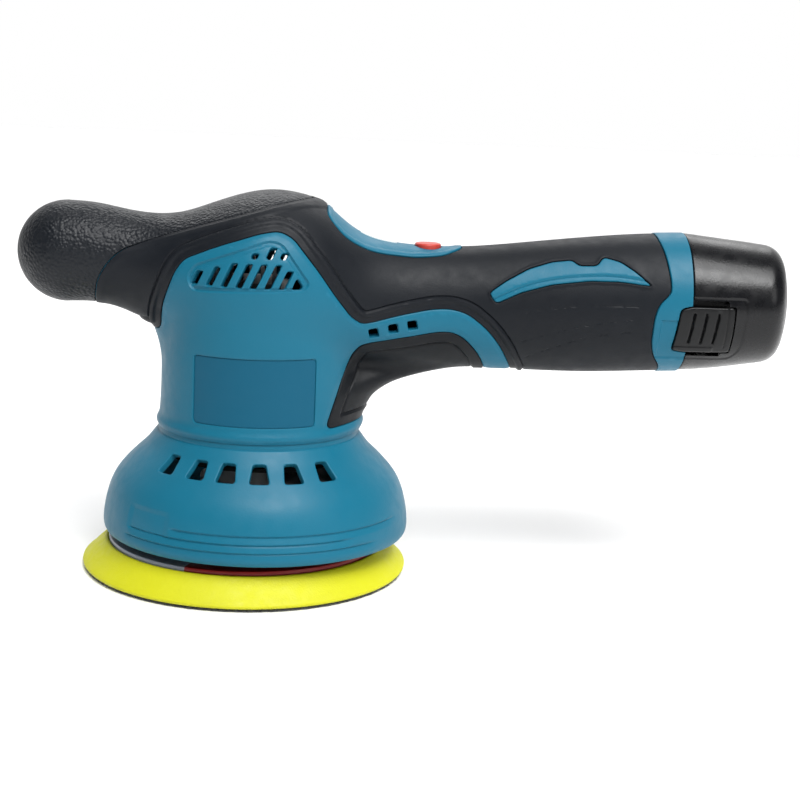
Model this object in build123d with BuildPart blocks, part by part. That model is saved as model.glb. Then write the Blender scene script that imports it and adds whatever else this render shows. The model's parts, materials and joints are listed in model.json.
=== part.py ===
from build123d import *
import os
from math import cos, radians, sin

# A cordless dual action polisher, in millimetres. +Z is up, +X points to the battery at the rear.
# The origin is the centre of the pad's flat underside. The motor shaft stands at x = ORBIT, so the
# pad's own axis travels on a circle of that radius while the pad spins freely on its bearing.

# driving dimensions
PAD_D = 125.0           # 5 inch pad
ORBIT = 4.0             # eccentric offset, an 8 mm orbit
SKIN = 1.0              # soft overmould thickness
WALL = 2.0              # hard shell thickness beneath it
NECK_Z = 55.5           # joint between the bell and the body
BARREL_R = 37.3         # motor barrel
COLLAR_END = 163.0      # rear edge of the collar
PACK_START = 163.4      # front face of the battery
SCREW_R = 1.5           # shell screws
RUN = 0.05              # radial running clearance

# the body's long loft, front to rear: x, half width, lowest z, highest z
KNOB_R, KNOB_X, KNOB_Z = 19.2, -68.2, 119.35
KNOB_DOME = (80, 55, 28)
SPINE = [
    (-68.2, 19.2, 100.2, 138.5), (-59, 18.9, 100.2, 137.8), (-50, 18.4, 99.2, 136.5),
    (-38, 19.9, 95.5, 134.8), (-27, 25.6, 92.0, 135.6), (-16, 31.4, 89.0, 139.2),
    (-5, 35.6, 86.0, 143.0), (6, 37.2, 84.0, 145.1), (17, 35.6, 82.0, 144.3),
    (26, 32.4, 80.5, 141.0), (34, 28.9, 79.5, 134.6), (42, 25.6, 79.0, 129.6),
    (52, 22.8, 78.5, 127.0), (64, 20.9, 78.7, 126.1), (78, 20.0, 79.3, 126.1),
    (92, 20.3, 79.8, 127.2), (106, 21.1, 79.9, 128.8), (120, 22.4, 79.8, 130.6),
    (134, 23.7, 80.1, 132.1), (146, 24.6, 80.6, 133.1), (157, 25.1, 81.2, 133.8),
    (168, 25.4, 81.7, 134.2),
]
# barrel radius against height, and the webs that run into the handle and the knob:
# height, reach from the motor axis, half width
BARREL = [(38.4, NECK_Z), (38.2, 57), (37.6, 63), (BARREL_R, 72), (37.2, 96), (36.6, 105), (33.8, 117)]
REAR_WEB = [(56.5, 41.6, 26), (60, 43.6, 26), (64, 45.2, 25.5), (68, 47.6, 24.5), (71.5, 51.6, 23),
            (74.5, 57.5, 20), (77, 65, 17), (80, 72, 14), (86, 66, 12)]
FRONT_WEB = [(87, 33.6, 17), (91, 35.6, 17), (95, 39.5, 16), (98.5, 45, 15), (103, 49, 14), (108, 46, 13)]

# side outlines, x and z, cut through the skin square to the middle plane
TEAL = [(-60, 40), (-60, 91.5), (-33.2, 91.5), (-32.6, 100.9), (-30.3, 108.3), (-27.5, 115.8),
        (-24.1, 120.8), (-11.9, 126.2), (3.4, 131.4), (10.3, 132.3), (15, 130), (25.1, 118.1),
        (31.1, 109.4), (37.3, 101.6), (40.9, 98.8), (45, 99.3), (55, 102), (66.8, 104.5),
        (73.9, 104.8), (80.5, 103.1), (88, 97.3), (93.5, 90.5), (101, 78), (101, 40)]
INSERT = [(29.8, 60.2), (34.6, 76.4), (38.6, 87.2), (40.9, 89.8), (44.5, 91.2), (60.1, 94),
          (69.4, 95.9), (74.7, 96), (79.1, 94.1), (83.1, 90.2), (86.3, 86.1), (91, 76), (60, 60.6)]
INLAY = [(88.2, 111.6), (94.1, 115.6), (102.7, 120.3), (111.3, 123.0), (118.9, 124.1),
         (121.3, 122.3), (128, 122.6), (130.3, 125.5), (136.6, 124), (141.9, 120.8), (147, 116.5),
         (136.2, 117.3), (125, 117.1), (111, 115.1), (99.8, 111.8), (90.6, 107.6)]
COLLAR = [(151.8, 150), (151.8, 133.5), (153.4, 128), (154.9, 118.4), (155, 114), (150.4, 109.5),
          (149.2, 104.2), (149.2, 95.2), (151.1, 89.4), (155.3, 84.2), (157, 70), (180, 70), (180, 150)]
PALM = [(-120, 98.6), (-57.8, 98.6), (-57.4, 102.1), (-55.6, 111.4), (-51.6, 118), (-47, 122.4),
        (-36.2, 126.7), (-24.4, 130.8), (-4.8, 137), (10.6, 141.5), (22, 143), (27.4, 141.5),
        (27.4, 160), (-120, 160)]
PANEL = [(27.6, 14.5), (33, 16.5), (42, 14), (52, 12), (62, 11), (72, 9), (78, 4.5)]

# openings in the skins
LABEL = (-19.5, 61.5, 25.0, 86.5)
UPPER_SLOTS = [(-20.0, 4.4), (-14.4, 7.4), (-8.8, 9.8), (-3.3, 12.0), (2.2, 14.2), (7.6, 13.6), (13.1, 8.4),
               (18.1, 3.6)]     # x of the foot, height
SLOT_FOOT, SLOT_W, SLOT_LEAN = 112.4, 1.9, 25.0
SQUARES = [(45.7, 95.3), (52.9, 97.0), (60.0, 98.4)]
SQUARE = 3.6
BELL_SLOTS = (-44.0, -27.5, -13.0, 2.0, 17.5, 34.0)   # degrees either side of straight out
SCREWS = [(-62, 119, 9), (-27, 64, 9), (-28, 101, 9), (36, 88, 9), (90, 91, 9), (119, 91, 9)]

# bell, outside radius against height
BELL = [(38.4, NECK_Z), (39.2, 53), (42.2, 48.5), (46.5, 44.5), (50.5, 40.5), (53.6, 36.5),
        (55.5, 32.7), (56.8, 28.7), (57.8, 24.6), (58.4, 20.6), (58.5, 16.6), (57.4, 13.2)]
BELL_WALL = 2.4

# drive line, heights along the motor shaft
SHAFT_R = 4.0
SHAFT_Z = (36.0, 104.0)
STATOR_R, STATOR_BORE, STACK = 25.0, 14.0, (66.0, 88.0)
BEARING_R, BEARING_W = 11.0, 7.0        # 8 x 22 x 7 motor bearings
LOWER_BEARING, UPPER_BEARING = 52.0, 96.0
SPINDLE_BEARING_R, SPINDLE_R = 14.0, 6.0    # 12 x 28 x 12 double row bearing
SPINDLE_BEARING = (19.0, 31.0)

BELL_SCREW_PCD = 60.0

# power button and speed display on the top panel
BUTTON_X, BUTTON_R, BUTTON_TOP = 66.0, 5.0, 127.0
LENS_X = 47.0

# battery: three 18650 cells
CELL_R, CELL_LEN, PACK_Z = 9.0, 65.0, 107.3
CELL_BORE = CELL_R * 2.1547 + 0.2      # circle round three touching cells
STEM_R, STEM_START = 20.1, 128.0
PACK = [(PACK_START, 25.3, 81.6, 134.2), (170, 25.3, 82.1, 133.6), (176, 25.3, 82.7, 133.0),
        (182, 25.1, 83.6, 132.4), (188, 24.8, 84.6, 131.7),
        (196, 23.6, 86.6, 130.0), (201, 20.8, 90.0, 125.4), (204.4, 14.5, 97.0, 117.0)]

AXIS = Axis((ORBIT, 0, 0), (0, 0, 1))
SIDE = Plane((ORBIT, 0, 0), x_dir=(1, 0, 0), z_dir=(0, -1, 0))
PACK_AXIS = Plane((0, 0, PACK_Z), x_dir=(0, 1, 0), z_dir=(1, 0, 0))


def save(piece, node):
    """Name a finished piece and write it."""
    piece.part.label = node
    export_step(piece.part, f"parts/{node}.step")


def level(z, x=0.0):
    """The horizontal plane at height z, centred on x."""
    return Plane((x, 0, z))


def body_solid(inset, rear=COLLAR_END, foot=NECK_Z):
    """The outside of knob, head, handle and barrel, drawn in by inset, cut at rear and foot."""
    radius = KNOB_R - inset
    with BuildPart() as body:
        for angle in KNOB_DOME:
            across = radius * cos(radians(angle))
            with BuildSketch(Plane.YZ.offset(KNOB_X - radius * sin(radians(angle)))):
                with Locations((0, KNOB_Z)):
                    Ellipse(across, across)
        for x, half_width, low, high in SPINE:
            with BuildSketch(Plane.YZ.offset(x)):
                with Locations((0, (low + high) / 2)):
                    Ellipse(half_width - inset, (high - low) / 2 - inset)
        loft()
        with BuildSketch(SIDE):
            with BuildLine():
                Spline([(r - inset, z) for r, z in BARREL])
                Polyline((BARREL[-1][0] - inset, BARREL[-1][1]), (0, BARREL[-1][1]), (0, NECK_Z - 6),
                         (BARREL[0][0] - inset, NECK_Z - 6), (BARREL[0][0] - inset, NECK_Z))
            make_face()
        revolve(axis=AXIS)
        for web, way, root in ((REAR_WEB, 1, 12), (FRONT_WEB, -1, 6)):
            for z, reach, half_width in web:
                half = (reach - inset + root) / 2
                with BuildSketch(level(z)):
                    with Locations((way * (half - root), 0)):
                        Ellipse(half, half_width - inset)
            loft()
        split(bisect_by=Plane.YZ.offset(rear), keep=Keep.BOTTOM)
        split(bisect_by=Plane.XY.offset(foot), keep=Keep.TOP)
    return body.part


def prism(points, near=-70.0, far=70.0):
    """A side outline run across the body, from y = near to y = far."""
    with BuildPart() as block:
        with BuildSketch(Plane.XZ.offset(-far)):
            with BuildLine():
                Polyline(*points, close=True)
            make_face()
        extrude(amount=far - near)
    return block.part


def ring(plane, outer, inner, height):
    """A plain ring standing on a plane; inner may be 0 for a disc."""
    with BuildPart() as turned:
        with BuildSketch(plane):
            Circle(outer)
            if inner:
                Circle(inner, mode=Mode.SUBTRACT)
        extrude(amount=height)
    return turned.part


def bearing(name, centre_x, z, outer, bore, width, balls):
    """A ball bearing as three nodes: outer race, inner race and balls."""
    ball = (outer - bore) * 0.27
    pitch = (outer + bore) / 2
    plane = level(z, centre_x)
    with BuildPart() as outer_race:
        add(ring(plane, outer, pitch + ball * 0.55, width))
    with BuildPart() as inner_race:
        add(ring(plane, pitch - ball * 0.55, bore, width))
    with BuildPart() as set_of_balls:
        for row in ((0.5,) if width < 10 else (0.27, 0.73)):
            with Locations(level(z + width * row, centre_x)):
                with PolarLocations(pitch, balls):
                    Sphere(ball)
    with BuildPart() as tracks:
        for row in ((0.5,) if width < 10 else (0.27, 0.73)):
            with Locations(level(z + width * row, centre_x)):
                Torus(pitch, ball + RUN)
    for race, node in ((outer_race, "outer"), (inner_race, "inner")):
        with race:
            add(tracks.part, mode=Mode.SUBTRACT)
        save(race, f"{name}_{node}")
    save(set_of_balls, f"{name}_balls")


os.makedirs("parts", exist_ok=True)

# ---------------------------------------------------------------- body shells and overmould
outside = body_solid(0)
hard_face = body_solid(SKIN, rear=COLLAR_END + 3, foot=NECK_Z - 3)
hollow = body_solid(SKIN + WALL, rear=COLLAR_END + 3, foot=NECK_Z - 3)
teal_zone = prism(TEAL)
insert_zone = prism(INSERT)
inlay_zone = prism(INLAY)
collar_zone = prism(COLLAR)
palm_zone = prism(PALM)
label_zone = prism([(LABEL[0], LABEL[1]), (LABEL[2], LABEL[1]), (LABEL[2], LABEL[3]), (LABEL[0], LABEL[3])])
pack_well = ring(PACK_AXIS.offset(STEM_START - 3), STEM_R + 0.5, 0, 60)

with BuildPart() as panel_zone:
    with BuildSketch(level(112)):
        with BuildLine():
            Polyline(*PANEL, *[(x, -y) for x, y in reversed(PANEL)], close=True)
        make_face()
    extrude(amount=40)

with BuildPart() as top_room:
    with BuildSketch(level(120, BUTTON_X)):
        Circle(BUTTON_R + 0.3)
    with BuildSketch(level(120, LENS_X)):
        SlotOverall(15, 3.6)
    extrude(amount=14)

with BuildPart() as skin:
    add(outside)
    add(hard_face, mode=Mode.SUBTRACT)
    split(bisect_by=Plane.XZ, keep=Keep.TOP)


# ---------------------------------------------------------------- hard clamshell
with BuildPart() as left_housing:
    add(outside)
    add(teal_zone, mode=Mode.INTERSECT)
    add(insert_zone, mode=Mode.SUBTRACT)
    add(hard_face)
    split(bisect_by=Plane.YZ.offset(COLLAR_END), keep=Keep.BOTTOM)
    split(bisect_by=Plane.XY.offset(NECK_Z), keep=Keep.TOP)
    add(hollow, mode=Mode.SUBTRACT)
    split(bisect_by=Plane.XZ, keep=Keep.TOP)

with BuildPart() as shell_ribs:
    for z in (STACK[0] + 2, STACK[1] - 4):
        add(ring(level(z, ORBIT), BARREL_R - SKIN - 1, STATOR_R + 0.1, 2))
    for x, z, reach in SCREWS:
        with BuildSketch(Plane.XZ.offset(-45)):
            with Locations((x, z)):
                Circle(3.4)
        extrude(amount=90)
    add(hard_face, mode=Mode.INTERSECT)
    with Locations(level(NECK_Z, ORBIT)):
        Cylinder(STATOR_R + 0.1, 48, align=(Align.CENTER, Align.CENTER, Align.MIN), mode=Mode.SUBTRACT)
    split(bisect_by=Plane.XZ, keep=Keep.TOP)

with left_housing:
    add(shell_ribs.part)
    add(pack_well, mode=Mode.SUBTRACT)
    add(top_room.part, mode=Mode.SUBTRACT)
    for x, lift in UPPER_SLOTS:
        slant = lift * sin(radians(SLOT_LEAN))
        with BuildSketch(Plane.XZ):
            with BuildLine():
                Polyline((x, SLOT_FOOT), (x + SLOT_W, SLOT_FOOT), (x + SLOT_W + slant, SLOT_FOOT + lift),
                         (x + slant, SLOT_FOOT + lift), close=True)
            make_face()
        extrude(amount=60, mode=Mode.SUBTRACT)
    for x, z in SQUARES:
        with BuildSketch(Plane.XZ):
            with Locations((x, z)):
                Rectangle(SQUARE, SQUARE, rotation=12)
        extrude(amount=60, mode=Mode.SUBTRACT)

with BuildPart() as label_layer:
    add(ring(level(LABEL[1], ORBIT), BARREL_R + 3, BARREL_R - 0.9, LABEL[3] - LABEL[1]))
    add(label_zone, mode=Mode.INTERSECT)
    split(bisect_by=Plane.XZ, keep=Keep.TOP)

with left_housing:
    add(label_layer.part, mode=Mode.SUBTRACT)

with BuildPart() as right_housing:
    mirror(left_housing.part, about=Plane.XZ, mode=Mode.ADD)

with BuildPart() as screw_room:
    for x, z, reach in SCREWS:
        with BuildSketch(Plane.XZ.offset(7)):
            with Locations((x, z)):
                Circle(SCREW_R + 0.1)
        extrude(amount=-14)
        with BuildSketch(Plane.XZ.offset(-reach + 3)):
            with Locations((x, z)):
                Circle(2.9)
        extrude(amount=-60)

with left_housing:
    add(screw_room.part, mode=Mode.SUBTRACT)
with right_housing:
    add(screw_room.part, mode=Mode.SUBTRACT)
save(left_housing, "left_housing")
save(right_housing, "right_housing")

with BuildPart() as housing_screws:
    for x, z, reach in SCREWS:
        with BuildSketch(Plane.XZ.offset(6.5)):
            with Locations((x, z)):
                Circle(SCREW_R)
        extrude(amount=-(reach + 3.5))
        with BuildSketch(Plane.XZ.offset(-reach + 3)):
            with Locations((x, z)):
                Circle(2.8)
                RegularPolygon(1.4, 6, mode=Mode.SUBTRACT)
        extrude(amount=-1.9)
save(housing_screws, "housing_screws")

with BuildPart() as left_label:
    add(ring(level(LABEL[1] + 0.2, ORBIT), BARREL_R - 0.3, BARREL_R - 0.85, LABEL[3] - LABEL[1] - 0.4))
    add(label_zone, mode=Mode.INTERSECT)
    split(bisect_by=Plane.XZ, keep=Keep.TOP)
save(left_label, "left_label_plate")
with BuildPart() as right_label:
    mirror(left_label.part, about=Plane.XZ)
save(right_label, "right_label_plate")

# ---------------------------------------------------------------- soft skins and trims, side by side
with BuildPart() as left_grip:
    add(skin.part)
    for zone in (teal_zone, inlay_zone, collar_zone, palm_zone, panel_zone.part):
        add(zone, mode=Mode.SUBTRACT)
save(left_grip, "left_grip")
with BuildPart() as right_grip:
    mirror(left_grip.part, about=Plane.XZ)
    add(screw_room.part, mode=Mode.SUBTRACT)
save(right_grip, "right_grip")

for zone, node in ((insert_zone, "arm_insert"), (inlay_zone, "grip_inlay")):
    with BuildPart() as left_piece:
        add(skin.part)
        add(zone, mode=Mode.INTERSECT)
    save(left_piece, f"left_{node}")
    with BuildPart() as right_piece:
        mirror(left_piece.part, about=Plane.XZ)
        add(screw_room.part, mode=Mode.SUBTRACT)
    save(right_piece, f"right_{node}")

for zone, node in ((collar_zone, "rear_collar"), (palm_zone, "palm_cover")):
    with BuildPart() as piece:
        add(skin.part)
        mirror(skin.part, about=Plane.XZ)
        add(zone, mode=Mode.INTERSECT)
        add(panel_zone.part, mode=Mode.SUBTRACT)
        add(screw_room.part, mode=Mode.SUBTRACT)
    save(piece, node)

with BuildPart() as control_panel:
    add(skin.part)
    mirror(skin.part, about=Plane.XZ)
    add(panel_zone.part, mode=Mode.INTERSECT)
    add(top_room.part, mode=Mode.SUBTRACT)
save(control_panel, "control_panel")


# ---------------------------------------------------------------- bell
def bell_solid(inset, foot):
    """The outside of the bell drawn in by inset, running down to foot."""
    with BuildPart() as solid:
        with BuildSketch(SIDE):
            with BuildLine():
                Spline([(r - inset, z) for r, z in BELL])
                Polyline((BELL[-1][0] - inset, BELL[-1][1]), (BELL[-1][0] - inset, BELL[-1][1] - 6),
                         (0, BELL[-1][1] - 6), (0, NECK_Z), (BELL[0][0] - inset, NECK_Z))
            make_face()
        revolve(axis=AXIS)
        split(bisect_by=Plane.XY.offset(foot), keep=Keep.TOP)
    return solid.part


with BuildPart() as bell_shroud:
    add(bell_solid(0, BELL[-1][1]))
    add(bell_solid(BELL_WALL, BELL[-1][1] - 2), mode=Mode.SUBTRACT)
    add(ring(level(NECK_Z - 3, ORBIT), BELL[0][0] - 0.3, 24, 3))
    with Locations(level(NECK_Z - 3, ORBIT)):
        with PolarLocations(BELL_SCREW_PCD / 2, 4, start_angle=45):
            Cylinder(2.1, 12, mode=Mode.SUBTRACT)
    for side in (-1, 1):
        for angle in BELL_SLOTS:
            turn = radians(side * (90 - angle))
            out = Plane(origin=(ORBIT, 0, 47.0), x_dir=(-sin(turn), cos(turn), 0),
                        z_dir=(cos(turn), sin(turn), 0))
            with BuildSketch(out):
                Rectangle(5.6, 7.6)
            extrude(amount=70, mode=Mode.SUBTRACT)
save(bell_shroud, "bell_shroud")

with BuildPart() as bell_screws:
    for turn in (45, 135, 225, 315):
        place = (ORBIT + BELL_SCREW_PCD / 2 * cos(radians(turn)), BELL_SCREW_PCD / 2 * sin(radians(turn)))
        with BuildSketch(Plane.XY.offset(50.2)):
            with Locations(place):
                Circle(3.6)
                RegularPolygon(1.6, 6, mode=Mode.SUBTRACT)
        extrude(amount=1.3)
        with BuildSketch(Plane.XY.offset(51.5)):
            with Locations(place):
                Circle(3.6)
        extrude(amount=1.0)
        with BuildSketch(Plane.XY.offset(52.5)):
            with Locations(place):
                Circle(2.0)
        extrude(amount=7.0)
save(bell_screws, "bell_screws")

# ---------------------------------------------------------------- motor
with BuildPart() as motor_plate:
    add(ring(level(NECK_Z, ORBIT), BARREL_R - SKIN - WALL - 0.3, 0, 4))
    add(ring(level(51, ORBIT), 15, 0, 10))
    add(ring(level(49, ORBIT), BEARING_R, 0, LOWER_BEARING + BEARING_W - 49), mode=Mode.SUBTRACT)
    add(ring(level(49, ORBIT), 6.5, 0, 15), mode=Mode.SUBTRACT)
    with Locations(level(NECK_Z, ORBIT)):
        with PolarLocations(BELL_SCREW_PCD / 2, 4, start_angle=45):
            Cylinder(2.05, 20, mode=Mode.SUBTRACT)
save(motor_plate, "motor_plate")

with BuildPart() as upper_bracket:
    add(ring(level(94.8, ORBIT), STATOR_R, 0, 3))
    add(ring(level(94.8, ORBIT), 14, 0, 10.2))
    add(ring(level(UPPER_BEARING, ORBIT), BEARING_R, 0, BEARING_W), mode=Mode.SUBTRACT)
    add(ring(level(94, ORBIT), 6.5, 0, 12), mode=Mode.SUBTRACT)
save(upper_bracket, "upper_bearing_bracket")

bearing("lower_bearing", ORBIT, LOWER_BEARING, BEARING_R, SHAFT_R, BEARING_W, 8)
bearing("upper_bearing", ORBIT, UPPER_BEARING, BEARING_R, SHAFT_R, BEARING_W, 8)

TEETH = 6
with BuildPart() as stator_core:
    with BuildSketch(level(STACK[0], ORBIT)):
        Circle(STATOR_R)
        Circle(STATOR_BORE, mode=Mode.SUBTRACT)
        with PolarLocations(18.6, TEETH, start_angle=180 / TEETH):
            Rectangle(6.0, 11.0, mode=Mode.SUBTRACT)
        with PolarLocations(15, TEETH, start_angle=180 / TEETH):
            Rectangle(4, 2.6, mode=Mode.SUBTRACT)
    extrude(amount=STACK[1] - STACK[0])
save(stator_core, "stator_core")

with BuildPart() as stator_coils:
    with Locations(level((STACK[0] + STACK[1]) / 2, ORBIT)):
        with PolarLocations(18.6, TEETH):
            Box(5.0, 15.0, STACK[1] - STACK[0] + 9)
    add(stator_core.part, mode=Mode.SUBTRACT)
save(stator_coils, "stator_coils")

with BuildPart() as rotor_core:
    with BuildSketch(level(STACK[0] - 0.5, ORBIT)):
        Circle(STATOR_BORE - 0.5)
        Circle(SHAFT_R, mode=Mode.SUBTRACT)
        with PolarLocations(10.0, 4):
            Rectangle(2.6, 11, mode=Mode.SUBTRACT)
    extrude(amount=STACK[1] - STACK[0] + 1)
save(rotor_core, "rotor_core")

with BuildPart() as rotor_magnets:
    with Locations(level((STACK[0] + STACK[1]) / 2, ORBIT)):
        with PolarLocations(10.0, 4):
            Box(2.6, 11, STACK[1] - STACK[0])
save(rotor_magnets, "rotor_magnets")

with BuildPart() as motor_shaft:
    with BuildSketch(level(SHAFT_Z[0], ORBIT)):
        Circle(SHAFT_R)
    extrude(amount=SHAFT_Z[1] - SHAFT_Z[0])
    chamfer(motor_shaft.edges().filter_by(GeomType.CIRCLE), 0.4)
save(motor_shaft, "motor_shaft")

# ---------------------------------------------------------------- fan, counterweight and eccentric hub
BLADES = 9
with BuildPart() as cooling_fan:
    add(ring(level(44.2, ORBIT), 34, SHAFT_R, 1.4))
    add(ring(level(44.2, ORBIT), 9, SHAFT_R, 5.2))
    with BuildSketch(level(45.4, ORBIT)):
        with PolarLocations(22.5, BLADES):
            Rectangle(22, 1.4, rotation=24)
    extrude(amount=3.9)
save(cooling_fan, "cooling_fan")

HUB_TOP, POCKET_TOP = 44.0, 34.2
with BuildPart() as eccentric_hub:
    add(ring(level(33, ORBIT), 13, 0, HUB_TOP - 33))
    add(ring(level(17.5), SPINDLE_BEARING_R + 4, 0, 17.5))
    add(ring(level(17), SPINDLE_BEARING_R, 0, SPINDLE_BEARING[1] - 17), mode=Mode.SUBTRACT)
    add(ring(level(17), 10, 0, POCKET_TOP - 17), mode=Mode.SUBTRACT)
    add(ring(level(17.9), SPINDLE_BEARING_R + 0.8, 0, 1.1), mode=Mode.SUBTRACT)
    add(ring(level(SHAFT_Z[0], ORBIT), SHAFT_R, 0, 10), mode=Mode.SUBTRACT)
save(eccentric_hub, "eccentric_hub")

with BuildPart() as bearing_clip:
    add(ring(level(17.95), SPINDLE_BEARING_R + 0.7, SPINDLE_BEARING_R - 1.8, 1.0))
    with Locations((-SPINDLE_BEARING_R, 0, 18)):
        Box(6, 3, 4, mode=Mode.SUBTRACT)
save(bearing_clip, "bearing_clip")

with BuildPart() as counterweight:
    add(ring(level(35.2, ORBIT), 20, 13, 5.8))
    for low, high, inner, cut_x in ((35.2, 41, 19.9, 10), (22, 35.2, 25, 18)):
        with BuildSketch(level(low, ORBIT)):
            Circle(42)
            Circle(inner, mode=Mode.SUBTRACT)
            with Locations((cut_x - 60, 0)):
                Rectangle(120, 100, mode=Mode.SUBTRACT)
        extrude(amount=high - low)
save(counterweight, "counterweight")

bearing("spindle_bearing", 0.0, SPINDLE_BEARING[0], SPINDLE_BEARING_R, SPINDLE_R,
        SPINDLE_BEARING[1] - SPINDLE_BEARING[0], 9)

# ---------------------------------------------------------------- spindle and pad
PLATE_Z = (10.0, 12.0)
with BuildPart() as pad_spindle:
    add(ring(level(PLATE_Z[1]), 8.4, 0, SPINDLE_BEARING[0] - PLATE_Z[1]))
    add(ring(level(PLATE_Z[1]), SPINDLE_R, 0, SPINDLE_BEARING[1] - PLATE_Z[1]))
    add(ring(level(PLATE_Z[1]), 4.05, 0, 13), mode=Mode.SUBTRACT)
    add(ring(level(27.5), 2.0, 0, 4), mode=Mode.SUBTRACT)
save(pad_spindle, "pad_spindle")

with BuildPart() as spindle_screw:
    add(ring(level(SPINDLE_BEARING[1]), 8.0, 0, 1.0))
    add(ring(level(SPINDLE_BEARING[1] + 1), 3.4, 0, 1.6))
    add(ring(level(28), 1.95, 0, 3))
save(spindle_screw, "spindle_screw")

with BuildPart() as backing_plate:
    add(ring(level(PLATE_Z[0]), 52, 0, PLATE_Z[1] - PLATE_Z[0]))
    add(ring(level(6.5), 14, 0, 5.4))
    add(ring(level(6), 4.2, 0, 8), mode=Mode.SUBTRACT)
    add(ring(level(6), 7.0, 0, 3.5), mode=Mode.SUBTRACT)
save(backing_plate, "backing_plate")

with BuildPart() as pad_bolt:
    add(ring(level(5.0), 6.5, 0, 4.5))
    add(ring(level(9.5), 4.0, 0, 15))
    with BuildSketch(level(5.0)):
        RegularPolygon(3.2, 6)
    extrude(amount=2.6, mode=Mode.SUBTRACT)
save(pad_bolt, "pad_bolt")

with BuildPart() as foam_pad:
    with BuildSketch(Plane.XZ):
        with BuildLine():
            Polyline((14.1, 1.2), (PAD_D / 2 - 0.5, 1.2), (PAD_D / 2, 1.8), (PAD_D / 2 - 0.3, 2.6),
                     (53.2, 10.0), (52.2, 10.9), (52.1, 10.0), (14.1, 10.0), close=True)
        make_face()
    revolve(axis=Axis.Z)
save(foam_pad, "foam_pad")

with BuildPart() as hook_face:
    add(ring(level(0), PAD_D / 2 - 1.0, 8.0, 1.2))
save(hook_face, "hook_face")

with BuildPart() as pad_label:
    add(ring(level(PLATE_Z[1]), 50, 26, 0.3))
save(pad_label, "pad_label")

# ---------------------------------------------------------------- switch, boards and wiring
with BuildPart() as power_button:
    with BuildSketch(level(122.3, BUTTON_X)):
        Circle(BUTTON_R)
    extrude(amount=BUTTON_TOP - 122.3)
    fillet(power_button.faces().sort_by(Axis.Z)[-1].edges(), 0.8)
    with BuildSketch(level(121.5, BUTTON_X)):
        Circle(1.5)
    extrude(amount=1.2)
save(power_button, "power_button")

with BuildPart() as speed_lens:
    with BuildSketch(level(121.2, LENS_X)):
        SlotOverall(14.6, 3.2)
    extrude(amount=9.0)
    add(outside, mode=Mode.INTERSECT)
save(speed_lens, "speed_lens")

with BuildPart() as control_board:
    with BuildSketch(level(116.6, 57)):
        Rectangle(40, 20)
        with Locations((-17, 0), (17, 0)):
            Circle(1.2, mode=Mode.SUBTRACT)
    extrude(amount=1.6)
save(control_board, "control_board")

with BuildPart() as power_switch:
    with Locations((BUTTON_X, 0, 118.2)):
        Box(6, 6, 1.8, align=(Align.CENTER, Align.CENTER, Align.MIN))
save(power_switch, "power_switch")

with BuildPart() as driver_board:
    add(ring(level(107, ORBIT), 24, 0, 1.6))
save(driver_board, "driver_board")

with BuildPart() as heat_sink:
    with Locations((-2, 0, 108.6)):
        Box(26, 30, 2.5, align=(Align.CENTER, Align.CENTER, Align.MIN))
    with Locations((-2, 0, 111.1)):
        with GridLocations(4.2, 1, 6, 1):
            Box(1.4, 30, 8.5, align=(Align.CENTER, Align.CENTER, Align.MIN))
save(heat_sink, "heat_sink")

with BuildPart() as capacitors:
    with Locations((18.5, -7, 108.6), (18.5, 7, 108.6)):
        Cylinder(4, 12, align=(Align.CENTER, Align.CENTER, Align.MIN))
save(capacitors, "capacitors")

with BuildPart() as battery_wires:
    for y in (-4, 4):
        with BuildLine() as route:
            FilletPolyline((25.5, y, 109.9), (42, y, 109.9), (70, y, 104.3), (100.5, y, 104.3), radius=20)
        with BuildSketch(Plane(origin=(25.5, y, 109.9), z_dir=(1, 0, 0))):
            Circle(1.2)
        sweep(path=route.wires()[0])
save(battery_wires, "battery_wires")

# ---------------------------------------------------------------- battery
with BuildPart() as terminal_block:
    with Locations((106, 0, PACK_Z - 3)):
        Box(11, 26, 24)
    with Locations((111, 0, PACK_Z - 3)):
        Box(6, 20, 18, mode=Mode.SUBTRACT)
save(terminal_block, "terminal_block")

with BuildPart() as terminal_blades:
    with Locations((112, -6, PACK_Z - 3), (112, 6, PACK_Z - 3)):
        Box(8, 0.8, 6)
save(terminal_blades, "terminal_blades")


def pack_solid(inset):
    """The outside of the battery beyond the collar, drawn in by inset, its end face by none."""
    with BuildPart() as pack:
        for x, half_width, low, high in PACK:
            with BuildSketch(Plane.YZ.offset(x)):
                with Locations((0, (low + high) / 2)):
                    Ellipse(half_width - inset, (high - low) / 2 - inset)
        loft()
    return pack.part


WINDOW_X, WINDOW_Z = (165.0, 179.8), (91.3, 109.7)
LATCH_PROUD, LATCH_THICK, LATCH_ROOM = 0.3, 2.8, 5.2
window_x, window_z = sum(WINDOW_X) / 2, sum(WINDOW_Z) / 2

with BuildPart() as latch_rooms:
    for side in (-1, 1):
        with Locations((window_x, side * 25, window_z)):
            Box(WINDOW_X[1] - WINDOW_X[0], 24, WINDOW_Z[1] - WINDOW_Z[0])
    add(pack_solid(LATCH_ROOM), mode=Mode.SUBTRACT)

with BuildPart() as battery_shell:
    add(pack_solid(0))
    add(ring(PACK_AXIS.offset(PACK_START - 1), CELL_BORE, 0, STEM_START + CELL_LEN + 4 - PACK_START),
        mode=Mode.SUBTRACT)
    add(latch_rooms.part, mode=Mode.SUBTRACT)
save(battery_shell, "battery_shell")

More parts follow.
